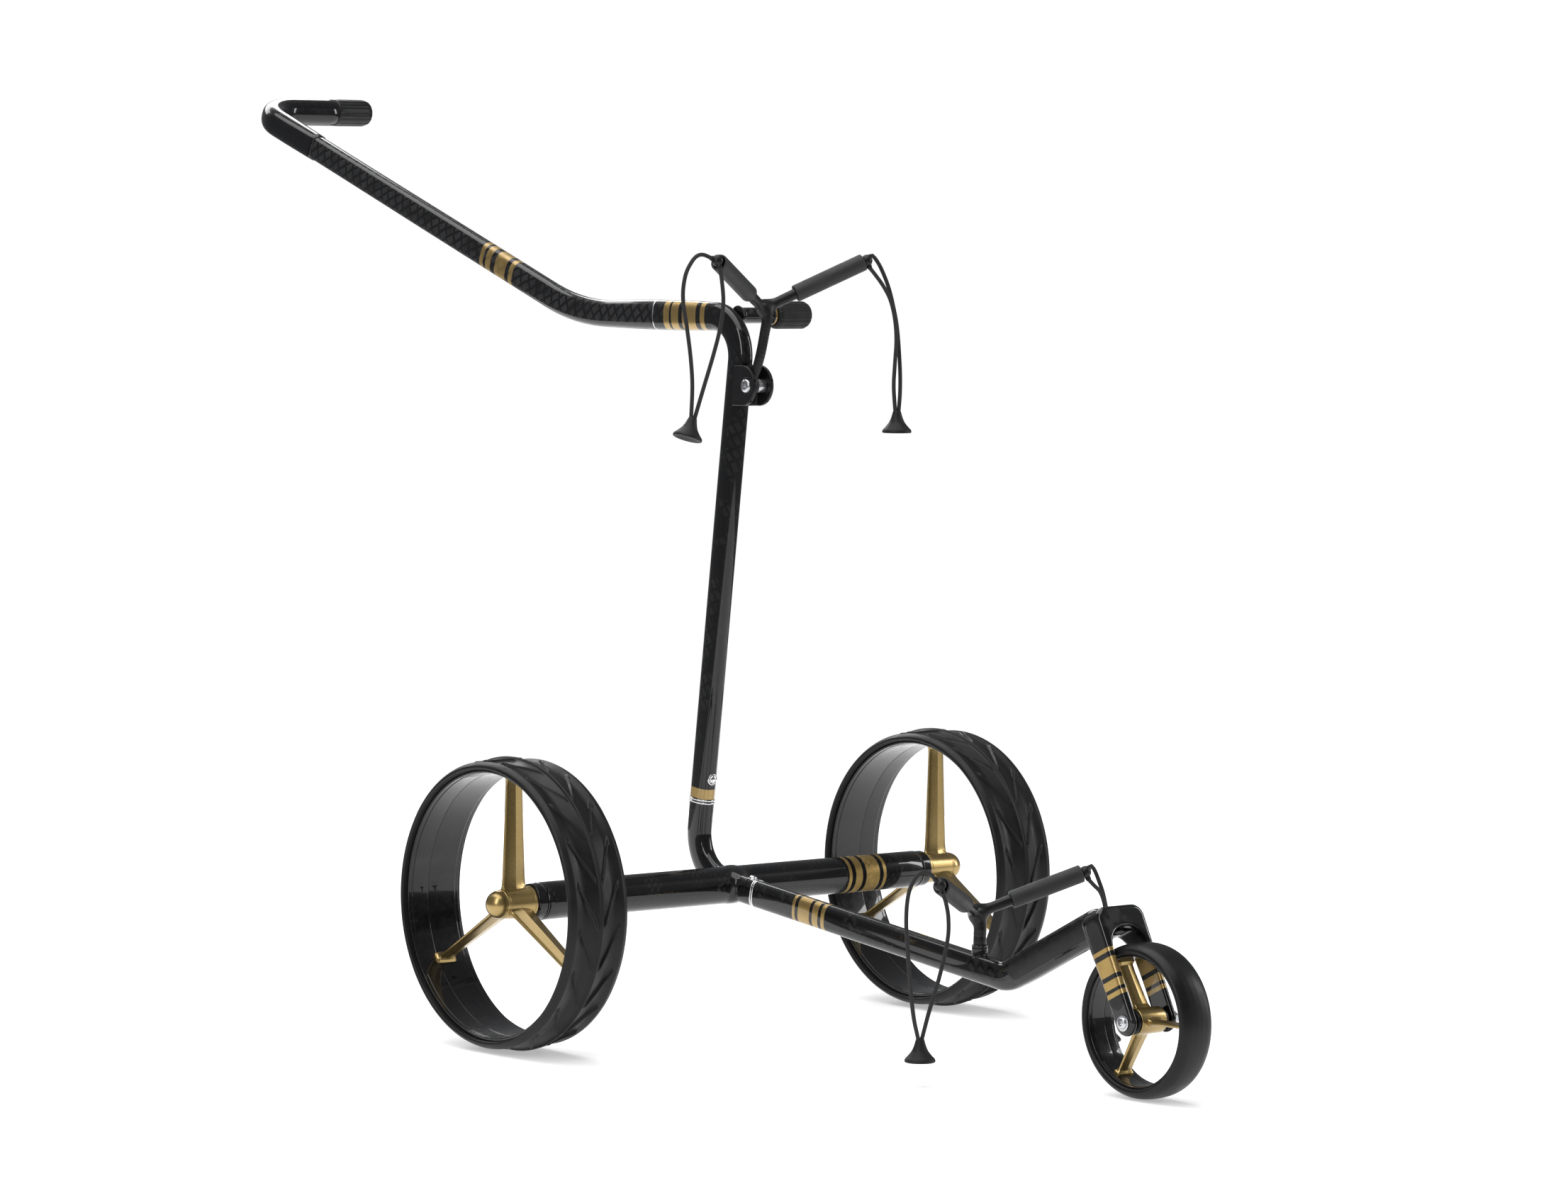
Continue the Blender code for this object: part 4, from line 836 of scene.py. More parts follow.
def make_rear_tyre(side, sign):
    """A tyre with slanting ribs that run opposite ways from its middle line."""
    half = through(TREAD, 0.00075)
    inner = np.stack((np.linspace(half[-1, 0], 0.0, 8)[1:], np.full(7, half[-1, 1])), 1)
    loop = np.concatenate((half, inner))
    loop = np.concatenate((loop, loop[::-1][1:-1] * (-1.0, 1.0)))
    pitches = round(2.0 * math.pi / RIB_PITCH)
    columns = (np.arange(pitches)[:, None] + np.array(RIB_COLUMNS)).ravel() * RIB_PITCH
    phase = (columns / RIB_PITCH + 0.5) % 1.0 - 0.5
    arc = phase * RIB_PITCH * TREAD_RADIUS
    slant = RIB_PITCH / (RIB_OUTER - RIB_INNER)
    lean = math.hypot(1.0, slant * TREAD_RADIUS)
    away = np.abs(arc) / lean
    rows = []
    for offset, radius in loop:
        spread = min(abs(offset), RIB_OUTER + 0.002)
        angle = RIB_START + columns + slant * (spread - RIB_INNER)
        reach = np.full(len(columns), radius)
        if radius > RIB_FOOT:
            height = RIB_HEIGHT * eased(abs(offset), RIB_INNER, RIB_INNER + 0.0025)
            height *= 1.0 - eased(abs(offset), RIB_OUTER - 0.0018, RIB_OUTER)
            reach += height * np.clip(1.2 - away / RIB_HALF_WIDTH, 0.0, 1.0)
        x = np.full(len(columns), sign * (WHEEL_MIDDLE + offset))
        y, z = AXLE[1] - reach * np.cos(angle), AXLE[2] + reach * np.sin(angle)
        rows.append(np.stack((x, y, z), 1))
    add(f"{side}_wheel_tyre", skin(rows, ring=True), TYRE, f"{side}_wheel", sharp=60.0)


def make_drum(name, centre, direction, half, inside, outside, body, lip):
    """A gloss drum with a shallow step inside each edge and a fine seam."""
    profile = [(-half, outside - 0.0004), (-half + 0.0004, outside), (half - 0.0004, outside),
               (half, outside - 0.0004), (half, inside + 0.001), (half - 0.0004, inside + 0.0005),
               (half - lip, inside + 0.0005), (half - lip - 0.0006, inside), (half * 0.22 + 0.0004, inside),
               (half * 0.22, inside + 0.0003), (half * 0.22 - 0.0004, inside),
               (-half + lip + 0.0006, inside), (-half + lip, inside + 0.0005),
               (-half + 0.0004, inside + 0.0005), (-half, inside + 0.001)]
    lathe(name, profile, 0.0005, centre, direction, GLOSS, body, 4, 180)


def spoke_rows(centre, outward, stations):
    """Creased blade sections; stations are (radius, width, thickness, edge thickness, fullness)."""
    sideways = np.cross(X, outward)
    half_u = np.array((0.0, 0.06, 0.2, 0.45, 0.7, 0.88, 0.955, 0.985, 1.0))
    over = np.concatenate((half_u[::-1], -half_u[1:]))
    u = np.concatenate((over, -over[1:-1]))
    face = np.concatenate((np.ones(len(over)), -np.ones(len(over) - 2)))
    rows = []
    for radius, width, thick, edge, full in stations:
        ridge = edge + (thick - edge) * (1.0 - np.abs(u)) ** (1.0 - 0.85 * full)
        v = face * ridge / 2.0 * np.sqrt(1.0 - np.abs(u) ** 14)
        rows.append(centre + outward * radius + X * (u * width / 2.0)[:, None] + sideways * v[:, None])
    return rows


def blended_stations(keys, count):
    """Spoke sections between the key ones, closer together towards the rim."""
    keys = np.array(keys, float)
    share = np.linspace(0.0, 1.0, count)
    radii = keys[0, 0] + (keys[-1, 0] - keys[0, 0]) * (1.0 - np.abs(1.0 - share) ** 1.25)
    radii = np.sort(np.concatenate((radii, keys[:, 0])))
    return np.stack([np.interp(radii, keys[:, 0], keys[:, column]) for column in range(keys.shape[1])], 1)


REAR_SPOKE = ((0.006, 0.03, 0.011, 0.008, 0.3), (0.0145, 0.0292, 0.01, 0.0068, 0.3),
              (0.0165, 0.0286, 0.009, 0.0044, 0.1), (0.02, 0.028, 0.0084, 0.0034, 0.0),
              (0.026, 0.027, 0.008, 0.003, 0.0), (0.07, 0.0232, 0.0072, 0.0026, 0.0),
              (0.118, 0.0196, 0.0062, 0.0024, 0.0), (0.124, 0.0197, 0.0066, 0.003, 0.2),
              (0.1262, 0.0206, 0.008, 0.0056, 0.7), (0.1274, 0.0226, 0.0105, 0.0095, 1.0),
              (0.128, 0.0246, 0.0118, 0.0112, 1.0), (0.1284, 0.025, 0.012, 0.0116, 1.0),
              (0.1297, 0.025, 0.012, 0.0116, 1.0))
FRONT_SPOKE = ((0.0072, 0.02, 0.012, 0.01, 0.6), (0.0125, 0.0192, 0.0092, 0.0066, 0.4),
               (0.016, 0.0184, 0.0068, 0.004, 0.1), (0.022, 0.0178, 0.006, 0.0034, 0.0),
               (0.05, 0.0162, 0.0052, 0.0028, 0.0), (0.0562, 0.0164, 0.0054, 0.0032, 0.2),
               (0.0578, 0.018, 0.0074, 0.006, 0.8), (0.0587, 0.0198, 0.0088, 0.0082, 1.0),
               (0.0604, 0.02, 0.009, 0.0084, 1.0))


def make_spider(name, hub, centre, keys, count, first_degrees, body):
    """A hub with three creased spokes round it, as one casting."""
    parts = [hub]
    for degrees in first_degrees + 120.0 * np.arange(3):
        angle = math.radians(degrees)
        outward = np.array((0.0, math.cos(angle), math.sin(angle)))
        parts.append(skin(spoke_rows(centre, outward, blended_stations(keys, count))))
    add(name, joined(*parts), GOLD, body, sharp=15.0)


def make_rear_wheel(side, sign):
    """Tyre, drum, three-spoke casting, bearing, and the axle pin with its collar."""
    body = f"{side}_wheel"
    out = X * sign
    make_rear_tyre(side, sign)
    make_drum(f"{side}_wheel_drum", AXLE + out * WHEEL_MIDDLE, out, REAR_HALF - 0.0008, REAR_DRUM, 0.1331,
              body, 0.0042)
    hub = [(0.297, 0.0003), (0.297, 0.0053), (0.2625, 0.0053), (0.2625, 0.0113), (0.2563, 0.0113),
           (0.2563, 0.0156), (0.2569, 0.0162), (0.259, 0.0161), (0.2592, 0.0158), (0.2596, 0.0158),
           (0.2598, 0.016), (0.288, 0.0145), (0.2882, 0.0142), (0.2886, 0.0142), (0.2888, 0.0145),
           (0.2914, 0.0145), (0.2918, 0.0142)]
    casting = turned(hub + dome(0.2922, 0.0141, 0.0, 0.0141, 0.05, 1.53, 16), AXLE, out, 72)
    make_spider(f"{side}_wheel_spider", casting, AXLE + out * 0.2755, REAR_SPOKE, 26, 90.0, body)
    bearing = [(0.2566, 0.0108), (0.257, 0.011), (0.2622, 0.011), (0.2622, 0.0053), (0.2566, 0.0053),
               (0.2566, 0.0072), (0.2572, 0.0074), (0.2572, 0.0094), (0.2566, 0.0096)]
    lathe(f"{side}_wheel_bearing", bearing, 0.0002, AXLE, out, STEEL, body, 3)
    axle_body = f"{side}_quick_axle"
    pin = [(0.19, 0.0003), (0.19, 0.0038), (0.1912, 0.005), (0.232, 0.005), (0.2323, 0.0045),
           (0.2333, 0.0045), (0.2336, 0.005), (0.2948, 0.005), (0.296, 0.004), (0.296, 0.0003)]
    lathe(f"{side}_axle_pin", pin, 0.0003, AXLE, out, STEEL, axle_body, 5, 48, False)
    collar = [(0.2433, 0.0178), (0.244, 0.0186), (0.2452, 0.0188), (0.2462, 0.0182), (0.2478, 0.0182),
              (0.255, 0.0182), (0.256, 0.0174), (0.256, 0.0053), (0.2433, 0.0053)]
    lathe(f"{side}_axle_collar", collar, 0.0004, AXLE, out, GLOSS, axle_body, 5, 80)


# ---------------------------------------------------------------- chassis
def front_tube_point(distance):
    """A point on the middle line of the front tube, at a distance from the rear axle."""
    return AXLE + FRONT_AHEAD * distance


def front_tube_loops(reaches, sizes):
    return loops_along([front_tube_point(reach) for reach in reaches], [FRONT_AHEAD] * len(reaches), sizes)


def make_ring(name, centre, along, start, stop, body, size=(0.0194, 0.0282), depth=0.002):
    """A thin plated ring with a rounded outer edge."""
    section = rounded([(start, -depth), (start, 0.0), (stop, 0.0), (stop, -depth)], 0.0007, 5, True)
    places, grown = section.T
    sizes = np.array(size) + 2.0 * grown[:, None]
    rows = loops_along(centre + np.outer(places, along), [along] * len(places), sizes)
    add(name, skin(rows, ring=True), CHROME, body)


def make_button(name, centre, outward, radius, body):
    """A domed push button that stands out of the tube."""
    radius -= 0.0003
    foot, shoulder = TUBE[1] / 2.0 - 0.0019, TUBE[1] / 2.0 + 0.001
    profile = [(foot, 0.0003), (foot, radius), (shoulder, radius)]
    profile += dome(shoulder, 0.0022, 0.0, radius, 0.15, 1.52)
    add(name, turned(profile, centre, outward, 40), CHROME, body)


def make_bezel(name, centre, outward, radius, body):
    """A fine ring let into the tube round a button."""
    low = TUBE[1] / 2.0 - 0.0006
    section = [(low, radius), (low, radius + 0.0011), (low + 0.0009, radius + 0.0011),
               (low + 0.0011, radius)]
    lathe(name, section, 0.0003, centre, outward, CHROME, body, 4, 48)


def make_axle_frame():
    """The cross tube with the stubs that carry the mast and the front frame, blended into it."""
    gold_right = [(AXLE, X, ((0.143, 0.147), (0.152, 0.161), (0.166, 0.184), (0.189, 0.193)))]
    paint = carbon("axle_carbon", 0.0075, 0.008, 0.012, gold_right)
    outside = [(x, AXLE_RADIUS) for x in np.linspace(-AXLE_HALF, AXLE_HALF, 24)]
    tube = [(-AXLE_HALF, AXLE_BORE)] + outside + [(AXLE_HALF, AXLE_BORE)]
    lathe("axle_frame", tube, 0.0006, AXLE, X, paint, "chassis", 4, 96)

    stub_corners = [AXLE + (0.0, 0.004, 0.0023), cart(0.0, 0.0556, 0.151), MAST_JOINT - MAST_UP * JOINT_GAP]
    stub_points, stub_directions = bent(stub_corners, [0.046])
    plain = carbon("frame_carbon", 0.014, 0.01, 0.011)
    add("mast_stub", skin(loops_along(stub_points, stub_directions, TUBE)), plain, "chassis")
    spigot_points = np.array([MAST_JOINT + MAST_UP * rise for rise in (-0.01, 0.0, 0.04, 0.068, 0.07)])
    spigot_sizes = [SPIGOT] * 4 + [SPIGOT - 0.0016]
    add("mast_stub_spigot", skin(loops_along(spigot_points, [MAST_UP] * 5, spigot_sizes)), plain, "chassis")
    mouth = FRONT_JOINT - JOINT_GAP
    rows = front_tube_loops((0.006, 0.014, 0.022, 0.03, 0.038, mouth), TUBE)
    rows += front_tube_loops((mouth, 0.017), TUBE - 2.0 * WALL)
    add("front_socket", skin(rows), plain, "chassis")

    near_stub = [point for point in stub_points if 0.006 < point[1] - AXLE[1] < 0.042]

    def field(p):
        cylinder = rod(p, AXLE, X, AXLE_RADIUS)
        rear = oval_tube(p, stub_points[0], near_stub[0], TUBE)
        for first, last in zip(near_stub, near_stub[1:]):
            rear = np.minimum(rear, oval_tube(p, first, last, TUBE))
        front = oval_tube(p, AXLE, front_tube_point(0.048), TUBE)
        whole = smooth_min(smooth_min(cylinder, rear, 0.006), front, 0.0075)
        box = np.maximum(np.abs(p[:, 0]) - 0.034, rod(p, AXLE, X, 0.0295))
        bored = smooth_max(whole + 0.00012, box, 0.0005)
        return np.maximum(bored, -rod(p, AXLE, X, 0.0168))

    low, high = AXLE - (0.036, 0.044, 0.03), AXLE + (0.036, 0.05, 0.048)
    add("frame_fillets", surface(field, low, high, 0.001), plain, "chassis", sharp=30.0)
    for side, sign in SIDES:
        bush = [(0.185, 0.0159), (0.2424, 0.0159), (0.2427, 0.0156), (0.2427, 0.0053), (0.185, 0.0053)]
        lathe(f"{side}_axle_bush", bush, 0.0004, AXLE, X * sign, STEEL, "chassis", 4)
    make_ring("mast_stub_ring", MAST_JOINT, MAST_UP, -0.0023, -0.0005, "chassis")
    joint = front_tube_point(FRONT_JOINT)
    make_ring("front_socket_ring", joint, FRONT_AHEAD, -0.0023, -0.0005, "chassis")
    button = front_tube_point(FRONT_BUTTON)
    make_button("front_release_button", button, FRONT_TOP, 0.004, "front_button")
    make_bezel("front_button_bezel", button, FRONT_TOP, 0.0041, "chassis")
    # painted highlight: a chrome loop on top of the front socket where there is only a reflection
    make_recess_painted_highlight()


def make_recess_painted_highlight():
    """A fine bright chrome line round the outline of a long thumb recess that leads to the front button: a
    painted highlight standing for the pale strip of reflection on top of the socket, with no recess cut
    into the tube.
    """
    outline = []
    for centre, begin in ((front_tube_point(0.0215), 90.0), (front_tube_point(0.0375), -90.0)):
        for degrees in np.linspace(begin, begin + 180.0, 14):
            angle = math.radians(degrees)
            outline.append(centre + FRONT_AHEAD * 0.0046 * math.cos(angle) + X * 0.0052 * math.sin(angle))
    crown = [point + FRONT_TOP * (TUBE[1] / 2.0 - 0.0016 * (abs(point[0]) / 0.0052) ** 3)
             for point in outline]
    line = through(crown + [crown[0]], 0.0008)[:-1]
    # this chrome loop is a painted highlight standing for a strip of reflection; the tube under it has no
    # recess
    add("front_button_recess", round_tube(line, 0.00042, 8, ring=True), CHROME, "chassis")


# ---------------------------------------------------------------- mast
def make_mast():
    """The leaning tube, bent back at its top into the spigot that the handle goes on."""
    corner = MAST_JOINT + MAST_UP * ((TOP_HEIGHT - MAST_JOINT[2]) / MAST_UP[2])
    joint = HANDLE_JOINT - Y * 0.0003
    points, directions = bent([MAST_JOINT + MAST_UP * JOINT_GAP, corner, joint], [0.04])
    run = distances(points)
    grow = eased(run, run[-1] - 0.125, run[-1] - 0.03)[:, None]
    sizes = TUBE + (TOP_TUBE - TUBE) * grow
    outside = loops_along(points, directions, sizes)
    spigot_size = TOP_TUBE - 2.0 * (WALL + PLAY)
    reaches = (0.0, 0.02, 0.045, 0.049, 0.05)
    spigot = [oval(joint + Y * reach, X, Z, spigot_size - (0.0016 if reach == 0.05 else 0.0))
              for reach in reaches]
    inner_size = spigot_size - 2.0 * WALL
    hollow = [oval(joint + Y * 0.05, X, Z, inner_size), oval(joint, X, Z, inner_size)]
    back = list(range(0, len(points) - 3, 6))[::-1]
    hollow += loops_along(points[back], directions[back], sizes[back] - 2.0 * WALL)
    bands = [(MAST_JOINT, MAST_UP, ((0.003, 0.0133),)),
             (cart(0.0, 0.0, 0.0), Y, ((0.092, 0.101), (0.077, 0.0885), (0.0495, 0.071), (0.0356, 0.0425)),
              (cart(0.0, 0.0, 0.69), Z))]
    paint = carbon("mast_carbon", 0.014, 0.0105, 0.013, bands)
    add("mast_tube", skin(outside + spigot + hollow, ring=True), paint, "mast")
    make_ring("mast_end_ring", MAST_JOINT, MAST_UP, 0.0005, 0.0023, "mast")
    make_ring("handle_seam_lip", joint, Y, -0.0016, -0.0002, "mast", TOP_TUBE + 0.0004, 0.0008)
    button = MAST_JOINT + MAST_UP * MAST_BUTTON
    make_button("mast_release_button", button, MAST_FRONT, 0.0047, "mast_button")
    make_bezel("mast_button_bezel", button, MAST_FRONT, 0.0048, "mast")
    make_clevis()
    make_accessory_holder()


def make_clevis():
    """The hinge bracket: two drilled ears on a block that clasps the mast."""
    ear, half, inside, edge = 0.0205, 0.013, 0.0092, 0.001
    arc_centre = PIN + Y * 0.008
    mast_point = MAST_JOINT + MAST_UP * ((PIN[2] - MAST_JOINT[2]) / MAST_UP[2])
    above, below = mast_point + MAST_UP * 0.05, mast_point - MAST_UP * 0.05

    def field(p):
        q = p - arc_centre
        disc = np.hypot(q[:, 1], q[:, 2]) - ear
        slab = np.abs(q[:, 2]) - ear
        outline = np.where(q[:, 1] < 0.0, disc, slab)
        behind, higher = (p - PIN) @ Y, (p - PIN) @ Z
        back = behind - (0.0215 - higher * 0.1)
        body = smooth_max(outline, back, edge * 2.0)
        body = smooth_max(body, np.abs(p[:, 0]) - half, edge * 1.6)
        gap = smooth_max(np.abs(p[:, 0]) - inside, behind - 0.0085 + 0.13 * higher, 0.003)
        body = smooth_max(body, -gap, edge)
        body = smooth_max(body, -oval_tube(p, below, above, TUBE + 0.0004), 0.0003)
        body = smooth_max(body, -rod(p, PIN, X, 0.0033), 0.0004)
        recess = np.maximum(rod(p, PIN, X, 0.0086), half - 0.0006 - np.abs(p[:, 0]))
        body = smooth_max(body, -recess, 0.0004)
        for sign in (-1.0, 1.0):
            for degrees in (200.0, 262.0, 322.0, 106.0, 40.0):
                angle = math.radians(degrees)
                outward = np.array((0.0, -math.sin(angle), -math.cos(angle)))
                rim = arc_centre + X * (sign * (half + inside) / 2.0) + outward * ear
                hole = np.maximum(rod(p, rim, outward, 0.0012), -(p - rim) @ outward - 0.0055)
                body = smooth_max(body, -hole, 0.0003)
        return body

    low, high = PIN + (-0.014, -0.014, -0.0225), PIN + (0.014, 0.0255, 0.0225)
    add("bracket_clevis", surface(field, low, high, 0.00055), ANODISED, "mast", sharp=38.0)
    outer = half - 0.0003
    head = dome(-outer - 0.0012, -0.0022, 0.0024, 0.0044, 0.0, 1.5)
    bolt = [(0.0196, 0.0003), (0.0196, 0.0026), (0.019, 0.003), (-outer, 0.003), (-outer, 0.0069),
            (-outer - 0.001, 0.0069)] + head + [(-outer - 0.001, 0.0022), (-outer - 0.0008, 0.0003)]
    add("clevis_bolt", turned(bolt, PIN, X, 48), STEEL, "mast", sharp=35.0)
    add("clevis_nut", hex_nut(PIN, outer + 0.0004, outer + 0.0046, 0.007, 0.0033), STEEL, "mast",
        sharp=30.0)
    sleeve = [(-0.0014, 0.0068), (0.0089, 0.0068), (0.0089, 0.0033), (-0.0014, 0.0033)]
    lathe("clevis_spacer_sleeve", sleeve, 0.0004, PIN, X, STEEL, "mast", 4, 48)


def hex_nut(centre, start, stop, corner_radius, bore):
    """A chamfered hexagonal nut about X."""
    angle = 2.0 * math.pi * np.arange(72) / 72
    flat = math.cos(math.pi / 6.0)
    hexagon = corner_radius * flat / np.cos((angle + math.pi / 6.0) % (math.pi / 3.0) - math.pi / 6.0)
    trimmed = np.minimum(hexagon, corner_radius * 0.94)
    rows = []
    for along, reach in ((start, trimmed), (start + 0.0005, hexagon), (stop - 0.0005, hexagon),
                         (stop, trimmed), (stop, np.full(72, bore)), (start, np.full(72, bore))):
        around = np.stack((np.zeros(72), reach * np.cos(angle), reach * np.sin(angle)), 1)
        rows.append(centre + X * along + around)
    return skin(rows, ring=True)


def make_accessory_holder():
    """A short arm out to the right of the mast with a ribbed clamping knob on its end."""
    low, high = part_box("accessory_knob")
    root = np.array((0.0, (low.y + high.y) / 2.0, (low.z + high.z) / 2.0))
    foot = TUBE[0] / 2.0 + 0.0003
    arm = [(foot, 0.0003), (foot, 0.0104), (foot + 0.0022, 0.0096), (foot + 0.005, 0.008), (0.05, 0.008),
           (0.052, 0.01), (0.0552, 0.01), (0.0555, 0.0045), (0.092, 0.0045), (0.092, 0.0003)]
    paint = carbon("accessory_carbon", 0.01, 0.01, 0.03, [(root, X, ((0.0526, 0.0552),))])
    lathe("accessory_arm", arm, 0.001, root, X, paint, "mast", closed=False)
    knob = rounded([(0.0559, 0.0048), (0.0559, 0.0117), (0.0572, 0.0133), (0.0594, 0.014), (0.094, 0.0141),
                    (0.098, 0.0122), (0.0995, 0.0092), (0.0995, 0.0062), (0.094, 0.0048)], 0.0012, 5, True)

    def ribbed(angle, along, radius):
        depth = 0.0005 * eased(radius, 0.0112, 0.0136)
        return radius - depth * (0.5 + 0.5 * np.cos(angle * 16.0)) ** 4

    add("accessory_knob", turned(knob, root, X, 240, ring=True, radius_at=ribbed), RUBBER, "accessory_knob")


# ---------------------------------------------------------------- handle
def make_handle():
    """The long curved tube from the top of the mast to the grip."""
    end = HANDLE_CORNER + HANDLE_BACK * GRIP_SEAM
    points, directions = bent([HANDLE_JOINT, HANDLE_CORNER, end], [0.29], 0.008, math.radians(1.2))
    run = distances(points)
    first = eased(run, 0.01, 0.1)[:, None]
    sizes = TOP_TUBE + (TUBE - TOP_TUBE) * first
    sizes = sizes + (np.array((0.0186, 0.0266)) - sizes) * eased(run, run[-1] - 0.3, run[-1])[:, None]
    outside = loops_along(points, directions, sizes)
    back = list(range(0, len(points), 5))[::-1]
    inside = loops_along(points[back], directions[back], sizes[back] - 2.0 * WALL)
    origin = HANDLE_CORNER + HANDLE_BACK * 0.09415
    slope = [(origin, HANDLE_BACK, ((0.0702, 0.0765), (0.057, 0.066), (0.03, 0.0492), (0.017, 0.0238)))]
    paint = carbon("handle_carbon", 0.014, 0.012, 0.026, slope, (0.24, 0.48))
    add("handle_tube", skin(outside + inside, ring=True), paint, "handle")
    make_grip()


def make_grip():
    """The elbowed end of the handle, its cross grip and the fluted knob on its end."""
    seam = HANDLE_CORNER + HANDLE_BACK * (GRIP_SEAM + 0.0003)
    root = HANDLE_CORNER + HANDLE_BACK * GRIP_LINE
    bend_start = HANDLE_CORNER + HANDLE_BACK * (GRIP_LINE - GRIP_BEND)
    thin, thick = np.array((0.0205, 0.0285)), np.array((0.024, 0.0288))
    full = np.array((GRIP_DIAMETER, GRIP_DIAMETER))
    plug = np.array((0.0186, 0.0266)) - 2.0 * (WALL + PLAY)
    rows = [oval(seam + HANDLE_BACK * reach, X, HANDLE_TOP, size) for reach,
            size in ((-0.03, plug), (0.0, plug), (0.0, thin - 0.0016), (0.0003, thin - 0.0006))]
    straight = np.linalg.norm(bend_start - seam)
    for share in np.linspace(0.0, 1.0, 12)[:-1]:
        place = seam + HANDLE_BACK * (0.0008 + (straight - 0.0008) * share)
        rows.append(oval(place, X, HANDLE_TOP, thin + (thick - thin) * min(1.0, share * straight / 0.05)))
    centre = bend_start + X * GRIP_BEND
    for share in np.linspace(0.0, 1.0, 28):
        angle = share * math.pi / 2.0
        place = centre - X * (GRIP_BEND * math.cos(angle)) + HANDLE_BACK * (GRIP_BEND * math.sin(angle))
        across = X * math.cos(angle) - HANDLE_BACK * math.sin(angle)
        rows.append(oval(place, across, HANDLE_TOP, thick + (full - thick) * share, OVAL - 0.7 * share))
    for reach in np.linspace(GRIP_BEND, GRIP_REACH - 0.0008, 8)[1:]:
        rows.append(oval(root + X * reach, -HANDLE_BACK, HANDLE_TOP, full, 2.0))
    for reach, size in ((GRIP_REACH - 0.0003, GRIP_DIAMETER - 0.0006), (GRIP_REACH, GRIP_DIAMETER - 0.0018),
                        (GRIP_REACH, 0.018), (GRIP_REACH + 0.02, 0.018)):
        rows.append(oval(root + X * reach, -HANDLE_BACK, HANDLE_TOP, np.array((size, size)), 2.0))
    add("grip_elbow", skin(rows), GLOSS_GRIP, "handle")
    start = GRIP_REACH + 0.0003
    knob = rounded([(start + 0.02, 0.0003), (start + 0.02, 0.0093), (start, 0.0093), (start, 0.0142),
                    (start + 0.0012, 0.0148), (start + 0.006, 0.015), (start + 0.04, 0.0148),
                    (start + 0.0462, 0.0128), (start + 0.048, 0.009), (start + 0.0482, 0.0003)], 0.0014)

    def fluted(angle, along, radius):
        depth = 0.0007 * eased(radius, 0.011, 0.014) * eased(along, start + 0.002, start + 0.006)
        return radius - depth * (0.5 + 0.5 * np.cos(angle * 14.0)) ** 6

    add("grip_end_knob", turned(knob, root, X, 224, radius_at=fluted), PLASTIC, "handle",
        slot="grey_black_rubber")


# ---------------------------------------------------------------- bag yokes
def make_yoke(name, fork, tip, stem, stem_radii, body, eyelets, eye=None):
    """A moulded Y with webbed arms; the balls on the ends of the arms are drilled for the cords."""
    ends = [tip * (sign, 1.0, 1.0) for sign in (-1.0, 1.0)]
    aheads = [unit(end - fork) for end in ends]
    places = distances(np.array(stem))
    stem = through(stem, 0.004)
    stem_radii = np.interp(distances(stem), places, stem_radii)
    stem_radii[-1] *= STEM_TOP_SHARE

    def field(p):
        whole = None
        for start, stop, first, last in zip(stem, stem[1:], stem_radii, stem_radii[1:]):
            part = cone(p, start, stop, first, last)
            whole = part if whole is None else smooth_min(whole, part, 0.0012)
        for ahead in aheads:
            low = fork + ahead * 0.004
            whole = smooth_min(whole, cone(p, low, fork + ahead * ARM_END, 0.005, ARM_CORE), 0.011)
        for ahead in aheads:
            whole = np.maximum(whole, (p - fork) @ ahead - ARM_END)
        if eye is not None:
            slab = np.abs(p[:, 0] + EYE_SIDE) - EYE_HALF
            whole = smooth_min(whole, smooth_max(rod(p, eye, X, 0.008), slab, 0.0012), 0.0025)
            whole = np.maximum(whole, slab - 60.0 * np.maximum(0.0, rod(p, eye, X, 0.009)))
            whole = smooth_max(whole, -rod(p, eye, X, 0.0034), 0.0003)
        return whole

    spots = np.array(list(stem) + [fork + ahead * ARM_END for ahead in aheads])
    parts = [surface(field, spots.min(axis=0) - 0.0115, spots.max(axis=0) + 0.0115, 0.00085)]
    for end, ahead in zip(ends, aheads):
        length = np.linalg.norm(end - fork)
        root = BARE_ARM - 0.002
        core = [(root, 0.0003), (root, ARM_CORE), (length - 0.0092, ARM_CORE), (length - 0.008, 0.0046),
                (length - 0.0058, 0.004)]
        core += [(length + BALL_RADIUS * math.cos(a), BALL_RADIUS * math.sin(a))
                 for a in np.linspace(2.35, 0.03, 20)]
        parts.append(turned(core, fork, ahead, 48))
    for centre, start in eyelets:
        out = start - centre
        line = centre + out * np.array((0.5, 0.8, 0.95, 1.08))[:, None]
        parts.append(round_tube(line, [0.0029, 0.0028, 0.0026, 0.0022], 20))
    add(name, joined(*parts), PLASTIC, body, sharp=55.0)


def cord_starts(tip, left, right):
    """(middle of the ball, start of a cord) for the four strands of a yoke."""
    pairs = []
    for sign, routes in ((-1.0, left), (1.0, right)):
        for route in routes.values():
            pairs.append((tip * (sign, 1.0, 1.0), cart(*route[0])))
    return pairs


def make_sleeves(prefix, fork, tip, body):
    """Round rubber sleeves with a soft lower end, a lip round the mouth and a dark recess for the ball."""
    for side, sign in SIDES:
        end = tip * (sign, 1.0, 1.0)
        length = np.linalg.norm(end - fork)
        low, high = BARE_ARM + 0.0004, length - 0.0036
        profile = [(low, 0.0061), (low, 0.0084), (low + 0.0012, 0.0087), (high - 0.001, 0.0087),
                   (high, 0.0083), (high, 0.0068), (high - 0.0008, 0.0066), (high - 0.0049, 0.0065),
                   (high - 0.0049, 0.0061)]
        lathe(f"{prefix}_{side}_sleeve", profile, 0.0008, fork, end - fork, SLEEVE, body, 5, 72)


